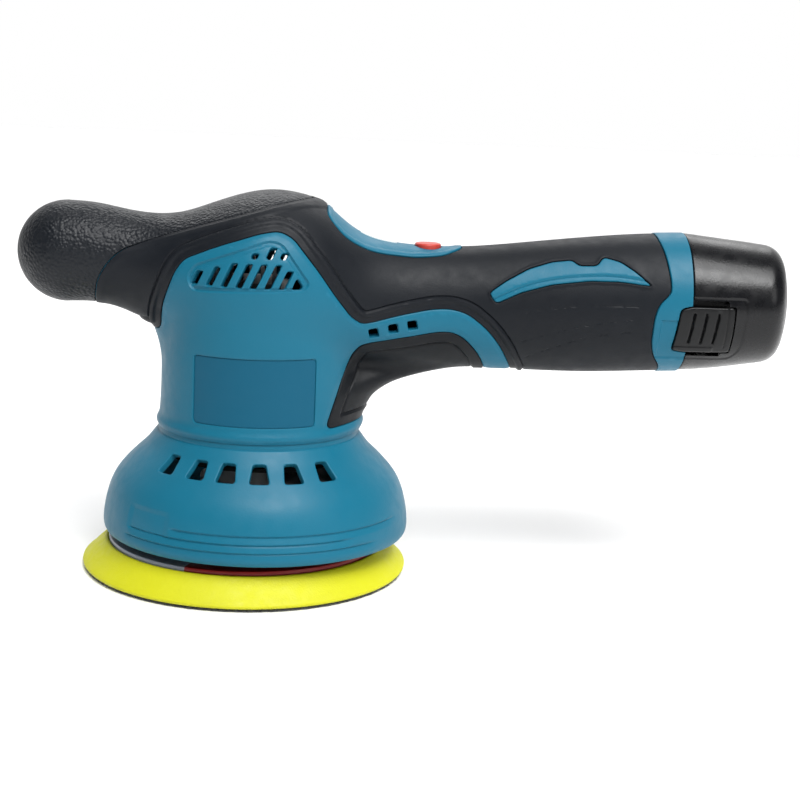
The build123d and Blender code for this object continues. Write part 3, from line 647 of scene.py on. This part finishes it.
def printed_label(name):
    """The pad's printed label: a grey sector on the left, dark red elsewhere."""
    n = Nodes(name)
    split_xyz = n.add("ShaderNodeSeparateXYZ")
    n.link(n.place, split_xyz.inputs["Vector"])
    turn = n.add("ShaderNodeMath", operation="ARCTAN2")
    n.link(split_xyz.outputs["Y"], turn.inputs[0])
    n.link(split_xyz.outputs["X"], turn.inputs[1])
    grey = n.add("ShaderNodeMath", operation="LESS_THAN")
    n.link(turn.outputs[0], grey.inputs[0])
    grey.inputs[1].default_value = radians(-113)
    drift = n.noise(60.0, 5.0)
    red = n.mix(drift, colour(132, 10, 6), colour(158, 16, 10))
    pale = n.mix(drift, colour(140, 146, 160), colour(162, 168, 182))
    n.link(n.mix(grey.outputs[0], red, pale), n.inputs["Base Color"])
    n.link(n.span(drift, 0.28, 0.45), n.inputs["Roughness"])
    n.bump(n.noise(900.0), 0.00001)
    return n.material


RUBBER = (17, 21, 27)
# colour, roughness, grain and its depth, then spread, wear, specular and coat where they differ
PLASTICS = {
    "teal_plastic": ((19, 103, 129), 0.42, 1300.0, 0.00004, 0.05, 0.3, 0.25),
    "label_plate": ((8, 86, 113), 0.50, 1900.0, 0.00003, 0.04, 0.2, 0.22),
    "soft_grip": (RUBBER, 0.50, 1700.0, 0.00004, 0.10, 0.2, 0.22),
    "black_plastic": ((15, 18, 22), 0.48, 1600.0, 0.00004, 0.08, 0.25, 0.22),
    "battery_black": ((7, 8, 12), 0.27, 1200.0, 0.00004, 0.08, 0.2, 0.32, 0.1),
    "latch_black": ((12, 13, 15), 0.34, 1500.0, 0.00003, 0.06, 0.3, 0.3),
    "button_red": ((196, 62, 50), 0.40, 1500.0, 0.00002, 0.06, 0.2),
    "component_black": ((28, 29, 31), 0.45, 1500.0, 0.00003),
    "board_green": ((20, 84, 46), 0.35, 1100.0, 0.00004, 0.2),
    "wire": ((150, 24, 20), 0.42, 1500.0, 0.00002),
    "cell_wrap": ((24, 26, 30), 0.30, 900.0, 0.00002),
    "lens": ((190, 210, 214), 0.12, 900.0, 0.00001, 0.04, 0.1, 0.6)}
# colour, roughness, then the brushing's stretch and the depth of its grain where they differ
METALS = {
    "magnet": ((120, 122, 126), 0.35), "screw_steel": ((90, 90, 92), 0.34),
    "bearing_steel": ((196, 198, 202), 0.18), "shaft_steel": ((180, 182, 186), 0.24, (1, 1, 12)),
    "die_cast": ((150, 152, 155), 0.48, None, 0.00005),
    "counterweight_steel": ((140, 140, 142), 0.42, None, 0.00003),
    "lamination": ((110, 112, 118), 0.40, (1, 1, 9), 0.00005),
    "copper": ((200, 112, 62), 0.32, (3, 3, 9), 0.00006), "contact_brass": ((208, 168, 92), 0.28)}


def make_materials():
    """One finished material for each slot of the record, and the palm cover's pebbled rubber."""
    made = {name: plastic(name, colour(*rgb), *rest) for name, (rgb, *rest) in PLASTICS.items()}
    made |= {name: metal(name, colour(*rgb), *rest) for name, (rgb, *rest) in METALS.items()}
    made |= {"hook_black": hook_fabric("hook_black"), "pad_foam": foam("pad_foam"),
             "pad_print": printed_label("pad_print")}
    made["palm_grip"] = plastic("palm_grip", colour(*RUBBER), 0.44, 1900.0, 0.00003, 0.10, 0.15, 0.3,
                                pebble=(820.0, 0.00022))
    return made


materials = make_materials()


def dress(obj, slot, material=None):
    """Give a piece its slot and material."""
    obj.data.materials.clear()
    obj.data.materials.append(materials[material or slot])
    return obj


for node in nodes.values():
    for holder in node.material_slots:
        holder.material = materials[holder.material.name.split(".")[0]]


# ---- outlines on the body
def side_of(outline, radius=3.0):
    """Signed distance to an outline drawn on the side, as a function of skin points."""
    line = rounded(outline, radius)
    return lambda p: outline_distance(p[:, [0, 2]], line)


def slanted(foot_x, low, high):
    """A leaning slot on the side."""
    lean = sin(radians(SLOT_LEAN)) / cos(radians(SLOT_LEAN))
    left, right = foot_x + (low - SLOT_FOOT) * lean, foot_x + (high - SLOT_FOOT) * lean
    return [(left, low), (left + SLOT_WIDTH, low), (right + SLOT_WIDTH, high), (right, high)]


teal_d, insert_d, inlay_d = side_of(TEAL, 4.0), side_of(INSERT, 3.0), side_of(INLAY, 1.6)
collar_d, palm_d, label_d = side_of(COLLAR, 3.0), side_of(PALM, 6.0), side_of(LABEL, 1.6)
vent_d = side_of(VENT_FIELD, 4.0)
panel_line = rounded(PANEL, 3.0)


def panel_d(p):
    """Signed distance to the control panel's outline, seen from above."""
    return np.maximum(outline_distance(p[:, :2], panel_line), 104 - p[:, 2])


slot_lines = [rounded(slanted(*slot), 0.8) for slot in SLOTS] + [rounded(END_SLOT, 0.8)]
square_lines = [rounded([(x + SQUARE_HALF * (a - SQUARE_TILT * b), z + SQUARE_HALF * (b + SQUARE_TILT * a))
                         for a, b in ((-1, -1), (1, -1), (1, 1), (-1, 1))], 0.5) for x, z in SQUARES]


def openings_d(p):
    """Signed distance to the nearest slot or square in the housing."""
    flat = p[:, [0, 2]]
    out = np.full(len(p), 1e3)
    near = (flat[:, 0] > -30) & (flat[:, 0] < 68) & (flat[:, 1] > 88) & (flat[:, 1] < 132)
    for line in slot_lines + square_lines:
        out[near] = np.minimum(out[near], outline_distance(flat[near], line))
    return out


# ---- lifts: how far a skin stands off the body
def round_edge(inside, radius=ROUND):
    """Height lost near an edge that is rounded over, against the distance inside it."""
    e = np.clip(inside, 0, radius)
    return -radius + np.sqrt(np.maximum(radius ** 2 - (radius - e) ** 2, 0))


def groove(distance, half_width=0.3, depth=0.35):
    """A small rounded groove along distance 0."""
    return -depth * np.clip(1 - (distance / half_width) ** 2, 0, 1)


RINGS = (-0.05, -0.15, -0.3, -0.5)      # where rounded edges are cut, from the edge inwards


def teal_shown(p):
    """Signed distance to the teal area of the housing, negative inside."""
    return np.maximum(teal_d(p), -insert_d(p))


def housing_rise(p):
    """The housing's surface: flush where it shows, drawn in below the soft skins."""
    shown = teal_shown(p)
    lift = np.where(shown <= 0, round_edge(-shown), -SKIN_DEPTH - 0.05)
    outer = -teal_d(p)
    lift += np.where((shown <= 0) & (outer < 1.6), -0.22 * (1.6 - np.maximum(outer, 0)), 0)
    frame = insert_d(p)
    lift += np.where((shown <= 0) & (frame < 2.2), -0.14 * (2.2 - np.maximum(frame, 0)), 0)
    label = label_d(p)
    lift -= 0.75 * ramp(-label, -0.05, 0.05) + 0.12 * (1 - ramp(np.abs(label - 0.1), 0.0, 0.3))
    vent = vent_d(p)
    lift -= 0.75 * ramp(-vent, 0.0, 0.5) - 0.45 * ramp(-vent, 1.5, 1.9)
    return lift + round_edge(openings_d(p), 0.3)


def grip_rise(p):
    """The soft grip: a rolled rim round the teal, a ridge under the palm cover and moulded lines."""
    out = teal_d(p)
    lift = -0.30 * (1 - ramp(out, 2.0, 2.7)) + 0.42 * (ramp(out, 2.3, 3.1) - ramp(out, 3.9, 4.4))
    lift += groove(out - 4.75, 0.42, 0.45)
    ridge = palm_d(p)
    lift += 0.35 * (ramp(ridge, 0.6, 1.2) - ramp(ridge, 2.3, 3.2)) * ramp(p[:, 0], -58, -46)
    flat = p[:, [0, 2]]
    for line in grip_lines:
        lift += groove(line_distance(flat, line), 0.35, 0.22)
    return lift + 0.25 * (1 - ramp(inlay_d(p), 0.5, 1.2))


def insert_rise(p):
    """The arm insert: a raised frame, a step and a sunk field."""
    inside = -insert_d(p)
    return -0.5 * ramp(inside, 3.4, 4.0) + groove(inside - 4.4, 0.4, 0.3)


def inlay_rise(p):
    """The teal inlay in the grip: a crowned strip with a line along its lower edge."""
    flat = p[:, [0, 2]]
    low = line_distance(flat, inlay_foot)
    return 0.30 * ramp(low, 1.9, 2.5) + groove(low - 1.7, 0.3, 0.25)


def collar_pad_d(p):
    """Signed distance to the lower pad in front of the latch."""
    return np.maximum(np.abs(p[:, 2] - 96.5) - 7.8, 151.6 - p[:, 0])


def collar_rise(p):
    """The rear collar: a ledge, lower on the pad."""
    return 0.30 - 0.45 * ramp(-collar_pad_d(p), 0.0, 0.5)


grip_lines = [smooth_line(line) for line in GRIP_LINES]
inlay_foot = smooth_line([(86, 105.6), (90.6, 107.5), (99.8, 111.8), (111, 115.1), (125, 117.1),
                          (136.2, 117.3), (150, 115.6)])
TONGUE = [(157.4, 93.6), (158.8, 108.3), (163.0, 109.5), (178.6, 109.5), (179.3, 108.5), (179.3, 92.0),
          (177.5, 91.7), (161.5, 91.7), (157.6, 92.4)]
tongue_d = side_of(TONGUE, 1.6)
SCREWS = [(-62, 119), (-27, 64), (-28, 101), (36, 88), (90, 91), (119, 91)]
WELL_R = 3.1


def beside_latch(p):
    """One next to the latch, where walls are square to its travel, fading to zero away from it."""
    return 1 - ramp(tongue_d(p), 0.2, 4.0)


def screw_d(p):
    """Signed distance to the nearest screw well."""
    return np.min([np.hypot(p[:, 0] - x, p[:, 2] - z) for x, z in SCREWS], axis=0) - WELL_R


# ---- body pieces
half = surface_net(body_field, (-90, -43, 52), (167, 1.4, 149), STEP)
half = half.trim(lambda p: p[:, 1]).trim(lambda p: NECK_Z - p[:, 2]).trim(lambda p: p[:, 0] - COLLAR_END)


def panel(region, rings=RINGS, lines=()):
    """The half skin inside a region, less the moulding gap, with its edges ready to round."""
    part = half.keep_near(region, 3.0)
    part = part.trim(lambda p: region(p) + GAP, 0.0, rings)
    for value, levels in lines:
        part = part.cut(value, *levels)
    return part


def seam(p):
    """Distance past the middle seam."""
    return p[:, 1] + 0.02


def pair(name, slot, region, rise, lines=(), material=None, depth=SKIN_DEPTH, edge=ROUND):
    """A left piece and its mirror image with the screw wells, each replacing its CAD node."""
    cut_region = lambda p: np.maximum(region(p), seam(p))
    shape = lambda p: rise(p) + round_edge(-cut_region(p) - GAP, edge)
    left = panel(cut_region, lines=lines)
    skin = dress(left.solid(f"left_{name}_skin", "housing", slot, shape, depth), slot, material)
    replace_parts(skin, f"left_{name}")
    wells = left.trim(lambda p: -screw_d(p), 0.0, ())
    skin = wells.mirrored().solid(f"right_{name}_skin", "housing", slot, lambda p: shape(p * FLIP), depth)
    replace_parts(dress(skin, slot, material), f"right_{name}")


def whole(name, slot, region, rise, lines=(), material=None):
    """A piece that crosses the middle plane, replacing its CAD node."""
    part = panel(region, lines=lines).both().squared(beside_latch)
    shape = lambda p: rise(p) + round_edge(-region(p) - GAP)
    skin = part.solid(f"{name}_skin", "housing", slot, shape)
    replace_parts(dress(skin, slot, material), name)


def grip_region(p):
    """Where the soft grip lies."""
    return np.max([-teal_d(p), -collar_d(p), -palm_d(p), -panel_d(p), -inlay_d(p)], axis=0)


def palm_region(p):
    return np.maximum(palm_d(p), -panel_d(p))


# housing halves
shell = half.cut(teal_shown, -1.6, -0.5, -0.3, -0.15, -0.05, 0.0, 0.06)
shell = shell.cut(label_d, -0.05, 0.05, 0.35).cut(vent_d, -2.0, -1.45, -0.55, 0.0)
shell = shell.cut(insert_d, 2.2).cut(teal_d, -1.6)
shell = shell.trim(lambda p: -openings_d(p), 0.0, (-0.05, -0.15, -0.3)).trim(lambda p: p[:, 1] + 0.06)
shell = shell.trim(lambda p: 0.1 - tongue_d(p))
for side in ("left", "right"):
    half_shell, rise = shell.squared(beside_latch), housing_rise
    if side == "right":
        half_shell = shell.trim(lambda p: -screw_d(p)).squared(beside_latch).mirrored()
        rise = lambda p: housing_rise(p * FLIP)
    skin = half_shell.solid(f"{side}_housing_skin", "housing", "teal_plastic", rise, SHELL_DEPTH)
    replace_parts(dress(skin, "teal_plastic"), f"{side}_housing")

GRIP_CUTS = [(teal_d, (1.9, 2.3, 2.7, 3.1, 3.9, 4.35, 4.75, 5.2)), (palm_d, (0.6, 1.2, 2.3, 3.2)),
             (inlay_d, (0.5, 1.2))]
GRIP_CUTS += [(lambda p, line=line: line_distance(p[:, [0, 2]], line), (0.35, 0.1)) for line in grip_lines]
pair("grip", "soft_grip", grip_region, grip_rise, GRIP_CUTS)
pair("arm_insert", "black_plastic", insert_d, insert_rise, [(insert_d, (-3.4, -4.0, -4.4, -4.8))])
pair("grip_inlay", "teal_plastic", inlay_d, inlay_rise,
     [(lambda p: line_distance(p[:, [0, 2]], inlay_foot), (1.4, 1.7, 2.0, 2.5))])
pair("label_plate", "label_plate", label_d, lambda p: np.full(len(p), -0.35), depth=0.4, edge=0.2)
whole("palm_cover", "soft_grip", palm_region, lambda p: np.full(len(p), -0.35), material="palm_grip")
whole("rear_collar", "teal_plastic", lambda p: np.maximum(collar_d(p), 0.1 - tongue_d(p)), collar_rise,
      [(collar_pad_d, (0.0, -0.5))])


def control_region(p):
    """The control panel, less the button and lens openings."""
    button = np.hypot(p[:, 0] - 66, p[:, 1]) - 5.2
    slot = np.hypot(np.maximum(np.abs(p[:, 0] - 47) - 5.9, 0), p[:, 1]) - 1.75
    return np.max([panel_d(p), -button, -slot], axis=0)


whole("control_panel", "teal_plastic", control_region,
      lambda p: 0.35 * (1 - ramp(-panel_d(p), 1.6, 2.4)), [(panel_d, (-1.6, -2.4))])


# ---- bell
bell_run = np.concatenate([[0], np.cumsum(np.hypot(*np.diff(BELL, axis=0).T))])
bell_curve = spline(np.column_stack([bell_run, BELL]))


def turned(curve, along, turns, centre):
    """Points and triangles of a surface of revolution; the angle starts at -Y and runs towards +X."""
    profile = curve(along)
    slope = np.gradient(profile, along, axis=0)
    angle = np.linspace(0, 2 * pi, turns, endpoint=False)
    s, c = np.sin(angle), -np.cos(angle)
    r, z = profile[:, 0][:, None], profile[:, 1][:, None]
    points = np.stack([centre + r * s, r * c, z + 0 * s], -1)
    out, up = -slope[:, 1][:, None], slope[:, 0][:, None]
    normals = np.stack([out * s, out * c, up + 0 * s], -1)
    normals /= np.linalg.norm(normals, axis=-1)[..., None]
    rows, i = np.arange(len(along) - 1)[:, None], np.arange(turns)[None, :]
    a, b = rows * turns + i, rows * turns + (i + 1) % turns
    c0, d = a + turns, b + turns
    tris = np.concatenate([np.stack(three, -1).reshape(-1, 3) for three in ([a, c0, b], [b, c0, d])])
    return Skin(points.reshape(-1, 3), tris, None, normals.reshape(-1, 3))


def bell_angle(p):
    """Angle round the motor axis in degrees, measured from -Y towards +X."""
    return np.degrees(np.arctan2(p[:, 0] - ORBIT, -p[:, 1]))


def bell_slots_d(p):
    """Signed distance to the nearest air slot of the bell, laid out flat."""
    angle, z = bell_angle(p), p[:, 2]
    out = np.full(len(p), 1e3)
    near = (z > 36) & (z < 53)
    for place in BELL_SLOTS:
        for middle in (place, 180 - place):
            turn = (angle[near] - middle + 180) % 360 - 180
            flat = np.column_stack([radians(1) * turn * 46.5, (z[near] - 46.3) * 1.35])
            out[near] = np.minimum(out[near], outline_distance(flat, bell_slot))
    return out


bell_slot = rounded([(-2.7, 4.0), (2.7, 4.0), (3.7, -4.0), (-3.7, -4.0)], 1.2)
STEPS = [(26.4, -32, 66, 2.4), (23.4, -52, 40, 2.0), (20.4, -54, 52, 2.0)]      # z, from and to angle, fade


def bell_rise(p):
    """The bell's surface: neck line, long shallow steps round the front, and a moulded tab."""
    angle, z = bell_angle(p), p[:, 2]
    lift = -0.30 * ramp(z, 53.4, 53.8) + groove(z - 53.6, 0.35, 0.25)
    for level, start, end, fade in STEPS:
        reach = ramp(angle, start, start + fade) * (1 - ramp(angle, end - 8, end))
        lift -= 0.42 * reach * (1 - ramp(z, level - 0.25, level + 0.25)) * ramp(z, level - 2.6, level - 0.4)
        lift += groove(z - level, 0.4, 0.34) * reach
    tab = np.maximum(np.abs(angle + 43) - 9.5, np.abs(z - 27.2) - 3.9)
    lift -= 0.42 * ramp(-tab, -0.35, 0.35)
    lift += round_edge(bell_slots_d(p), 0.3) + round_edge(z - BELL[-1, 1], 0.6)
    return lift


levels = np.unique(np.round(np.concatenate([np.linspace(0, bell_run[-1], 56)] + [
    np.interp(z, BELL[::-1, 1], bell_run[::-1]) + np.array([-0.5, -0.25, 0, 0.25, 0.5])
    for z in (26.4, 23.4, 20.4, 53.6)]), 2))
bell = turned(bell_curve, levels[(levels >= 0) & (levels <= bell_run[-1])], 300, ORBIT)
bell = bell.trim(lambda p: -bell_slots_d(p), 0.0, (-0.06, -0.15, -0.3))
bell_skin = bell.solid("bell_shroud_skin", "housing", "teal_plastic", bell_rise, BELL_WALL)
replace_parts(dress(bell_skin, "teal_plastic"), "bell_shroud")


# ---- pad
def revolved(name, body, slot, profile, turns=240, ripple=None):
    """A closed piece turned from a ring profile of (radius, z)."""
    profile = np.array(profile)
    angle = np.linspace(0, 2 * pi, turns, endpoint=False)
    r, z = profile.T[:, :, None]
    wave = ripple(angle)[None, :] if ripple is not None else 0
    points = np.stack([(r + wave) * np.cos(angle), (r + wave) * np.sin(angle), z + 0 * angle], -1)
    rows = np.arange(len(profile))[:, None]
    a = rows * turns + np.arange(turns)
    b = rows * turns + (np.arange(turns) + 1) % turns
    after = (rows + 1) % len(profile) * turns
    c, d = after + np.arange(turns), after + (np.arange(turns) + 1) % turns
    faces = np.stack([a, b, d, c], -1).reshape(-1, 4)
    return dress(piece(name, body, points.reshape(-1, 3), faces), slot)


def arc(centre, radius, start, end, steps=5):
    """Points of a circular arc in a profile, angles in degrees."""
    return [(centre[0] + radius * cos(radians(a)), centre[1] + radius * sin(radians(a)))
            for a in np.linspace(start, end, steps)]


FOAM = [(8.2, 1.2), (30, 1.2), (55, 1.2)] + arc((61.3, 2.1), 0.9, -90, 35) + [
    (60.4, 3.9), (58.8, 5.6), (57.0, 7.3), (55.2, 9.0)] + arc((53.3, 9.8), 1.0, 45, 130, 6) + [
    (52.6, 10.1), (52.5, 9.98), (30, 9.98), (8.2, 9.98)]
foam_skin = revolved("foam_pad_skin", "pad", "pad_foam", FOAM)
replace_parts(foam_skin, "foam_pad")
HOOK = [(8.2, 0.25), (30, 0.05), (58, 0.05)] + arc((60.9, 0.55), 0.5, -80, 60) + [
    (60.4, 1.18), (30, 1.18), (8.2, 1.18)]
hook_skin = revolved("hook_face_skin", "pad", "hook_black", HOOK, turns=360,
                     ripple=lambda angle: 0.12 * np.sin(90 * angle) + 0.08 * np.sin(37 * angle + 1))
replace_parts(hook_skin, "hook_face")
LABEL_RING = [(26.2, 12.02), (52.05, 12.02), (52.05, 10.2), (52.35, 10.2), (52.4, 11.5), (52.15, 12.1),
              (51.5, 12.3), (26.4, 12.3)]
label_ring = revolved("pad_label_skin", "pad", "pad_print", LABEL_RING)
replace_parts(label_ring, "pad_label")


# ---- battery and its latches
WINDOW = [(160, 90.0), (176.4, 90.0), (176.4, 91.3), (179.9, 91.3), (179.9, 109.8), (177.0, 109.8),
          (177.0, 111.9), (160, 111.9)]
RIM = [(160, 88.4), (180.4, 88.4), (183.6, 92.0), (184.4, 113.2), (160, 113.2)]
window_d, rim_d = side_of(WINDOW, 0.8), side_of(RIM, 2.4)
PACK_START, END_LINE = 163.4, 200.6         # where the shell begins, and the line round its end
LATCH_GROOVES, GROOVE_LEAN = (163.4, 168.0, 172.6), 0.10


def battery_rise(p):
    """The battery's surface: a line round its end, and a shallow border round the latch window."""
    end = p[:, 0] - END_LINE
    border = np.where(np.abs(p[:, 1]) > 12, rim_d(p), 9.0)
    return (groove(end, 0.5, 0.18) - 0.35 * ramp(-border, 0.0, 0.5)
            + round_edge(p[:, 0] - PACK_START, 0.5) - 0.05)


pack_half = surface_net(pack_field, (161, -29, 78), (207, 1.4, 138), 0.8)
pack_half = pack_half.trim(lambda p: p[:, 1]).trim(lambda p: PACK_START - p[:, 0], 0.0, (-0.1, -0.25, -0.5))
pack_half = pack_half.cut(rim_d, 0.0, -0.5).cut(lambda p: p[:, 0] - END_LINE, -0.5, 0.0, 0.5)
pack_half = pack_half.trim(lambda p: np.where(p[:, 1] < -12, -window_d(p), -9.0))
battery_skin = dress(pack_half.both().squared(lambda p: 1 - ramp(window_d(p), 0.2, 4.0)).solid(
    "battery_shell_skin", "battery", "battery_black", battery_rise, 2.2), "battery_black")
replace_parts(battery_skin, "battery_shell")


room = surface_net(pack_field, (161, -29, 86), (183, -10, 115), 1.0)
room = room.trim(lambda p: window_d(p) - 0.8).trim(lambda p: 163.6 - p[:, 0])
for side, back_wall in (("left", room), ("right", room.mirrored())):
    dress(back_wall.solid(f"{side}_latch_room", "battery", "battery_black",
                          lambda p: np.full(len(p), -4.4), 5.2), "battery_black")


def groove_d(p, place):
    """Distance past one of the latch's leaning finger grooves."""
    return p[:, 0] - place - GROOVE_LEAN * (p[:, 2] - 100)


def latch_rise(p):
    """Three leaning finger grooves, a raised border and a thicker foot along the bottom."""
    x, z = p[:, 0], p[:, 2]
    lift = np.full(len(p), 0.55)
    for place in LATCH_GROOVES:
        reach = ramp(z, 95.0, 95.8) * (1 - ramp(z, 106.6, 107.4))
        lift += groove(groove_d(p, place), 0.6, 1.05) * reach
    lift += groove(x - 176.6, 0.35, 0.4) * ramp(z, 93.6, 94.2)
    lift += 0.45 * (1 - ramp(z, 93.6, 94.3)) * (1 - ramp(x, 172.0, 173.0))
    return lift


latch_half = surface_net(lambda p: np.where(p[:, 0] > 162.4, pack_field(p), body_field(p)),
                         (154, -29, 86), (182, -10, 114), 0.5)
latch_half.field = None
latch_half = latch_half.trim(lambda p: tongue_d(p) + 0.15, 0.0, (-0.06, -0.18, -0.34, -0.5))
for place in LATCH_GROOVES:
    latch_half = latch_half.cut(lambda p: groove_d(p, place), -0.55, 0.0, 0.55)
latch_half = latch_half.squared(lambda p: np.ones(len(p)))
for side, plate in (("left", latch_half), ("right", latch_half.mirrored())):
    latch = plate.solid(f"{side}_latch_skin", f"{side}_latch", "latch_black",
                        lambda p: latch_rise(p) + round_edge(-tongue_d(p) - 0.15, 0.5), 0.9)
    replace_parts(dress(latch, "latch_black"), f"{side}_latch")


# ---- floor, light and camera
def plain(name, rgb, rough):
    """The pale floor's finish, with a trace of texture."""
    n = Nodes(name)
    drift = n.noise(6.0, 3.0)
    n.link(n.mix(drift, tint(rgb, 0.99), rgb), n.inputs["Base Color"])
    n.inputs["Roughness"].default_value = rough
    return n.material


FLOOR = 4.0                 # half the floor's side, metres
floor_mesh = bpy.data.meshes.new("floor")
floor_corners = [(a * FLOOR, b * FLOOR, 0) for a, b in ((-1, -1), (1, -1), (1, 1), (-1, 1))]
floor_mesh.from_pydata(floor_corners, [], [(0, 1, 2, 3)])
floor_mesh.materials.append(plain("floor", colour(252, 252, 252), 0.6))
floor = bpy.data.objects.new("floor", floor_mesh)
bpy.context.scene.collection.objects.link(floor)
floor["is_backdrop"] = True

world = bpy.data.worlds.new("studio")
bpy.context.scene.world = world
world.use_nodes = True
tree = world.node_tree
way = tree.nodes.new("ShaderNodeTexCoord")
apart = tree.nodes.new("ShaderNodeSeparateXYZ")
room_light = tree.nodes.new("ShaderNodeMapRange")
for key, value in (("From Min", 0.2), ("From Max", 0.88), ("To Min", 0.16), ("To Max", 1.0)):
    room_light.inputs[key].default_value = value
tree.links.new(way.outputs["Generated"], apart.inputs["Vector"])
tree.links.new(apart.outputs["Y"], room_light.inputs["Value"])
tree.links.new(room_light.outputs["Result"], tree.nodes["Background"].inputs["Strength"])
tree.nodes["Background"].inputs["Color"].default_value = (1, 1, 1, 1)

sun = bpy.data.lights.new("sky_box", "SUN")
sun.energy, sun.angle = 2.9, radians(44)
sun_lamp = bpy.data.objects.new("sky_box", sun)
sun_lamp.rotation_euler = (radians(27), radians(12), 0)
bpy.context.scene.collection.objects.link(sun_lamp)


def soft_light(name, place, target, width, height, power):
    """A large soft box aimed at a point; sizes in metres."""
    lamp = bpy.data.lights.new(name, "AREA")
    lamp.shape, lamp.size, lamp.size_y, lamp.energy = "RECTANGLE", width, height, power
    obj = bpy.data.objects.new(name, lamp)
    bpy.context.scene.collection.objects.link(obj)
    back = (np.array(place, float) - np.array(target, float))
    back /= np.linalg.norm(back)
    right = np.cross([0, 0, 1], back)
    right /= np.linalg.norm(right)
    basis = Matrix(np.column_stack([right, np.cross(back, right), back]).tolist()).to_4x4()
    obj.matrix_world = Matrix.Translation(place) @ basis


soft_light("key", (0.35, -0.75, 1.05), (0.04, 0, 0.09), 0.7, 0.35, 5.5)
soft_light("fill", (0.95, -0.85, 0.55), (0.08, 0, 0.09), 0.5, 0.5, 1.5)
soft_light("back", (0.1, 0.9, 0.9), (0.04, 0, 0.09), 1.2, 0.5, 4.0)

AZIMUTH, ELEVATION, ROLL = radians(-4.0), radians(11.5), radians(2.5)
TARGET, DISTANCE = np.array([0.058, 0.0, 0.066]), 0.617
right = np.array([cos(AZIMUTH), sin(AZIMUTH), 0])
forward = np.array([-sin(AZIMUTH) * cos(ELEVATION), cos(AZIMUTH) * cos(ELEVATION), -sin(ELEVATION)])
up = np.cross(right, forward)
rolled_right, rolled_up = cos(ROLL) * right + sin(ROLL) * up, cos(ROLL) * up - sin(ROLL) * right
camera = bpy.data.objects.new("camera", bpy.data.cameras.new("camera"))
camera.data.lens, camera.data.sensor_width = 72.0, 36.0
camera.data.clip_start = 0.01
basis = Matrix(np.column_stack([rolled_right, rolled_up, -forward]).tolist()).to_4x4()
camera.matrix_world = Matrix.Translation(TARGET - forward * DISTANCE) @ basis
bpy.context.scene.collection.objects.link(camera)
bpy.context.scene.camera = camera
bpy.context.scene.view_settings.view_transform = "Standard"


def corners(box):
    """A box as plain lists."""
    return [[float(v) for v in corner] for corner in box]


{"cad": corners(cad_box), "visual": corners(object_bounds())}
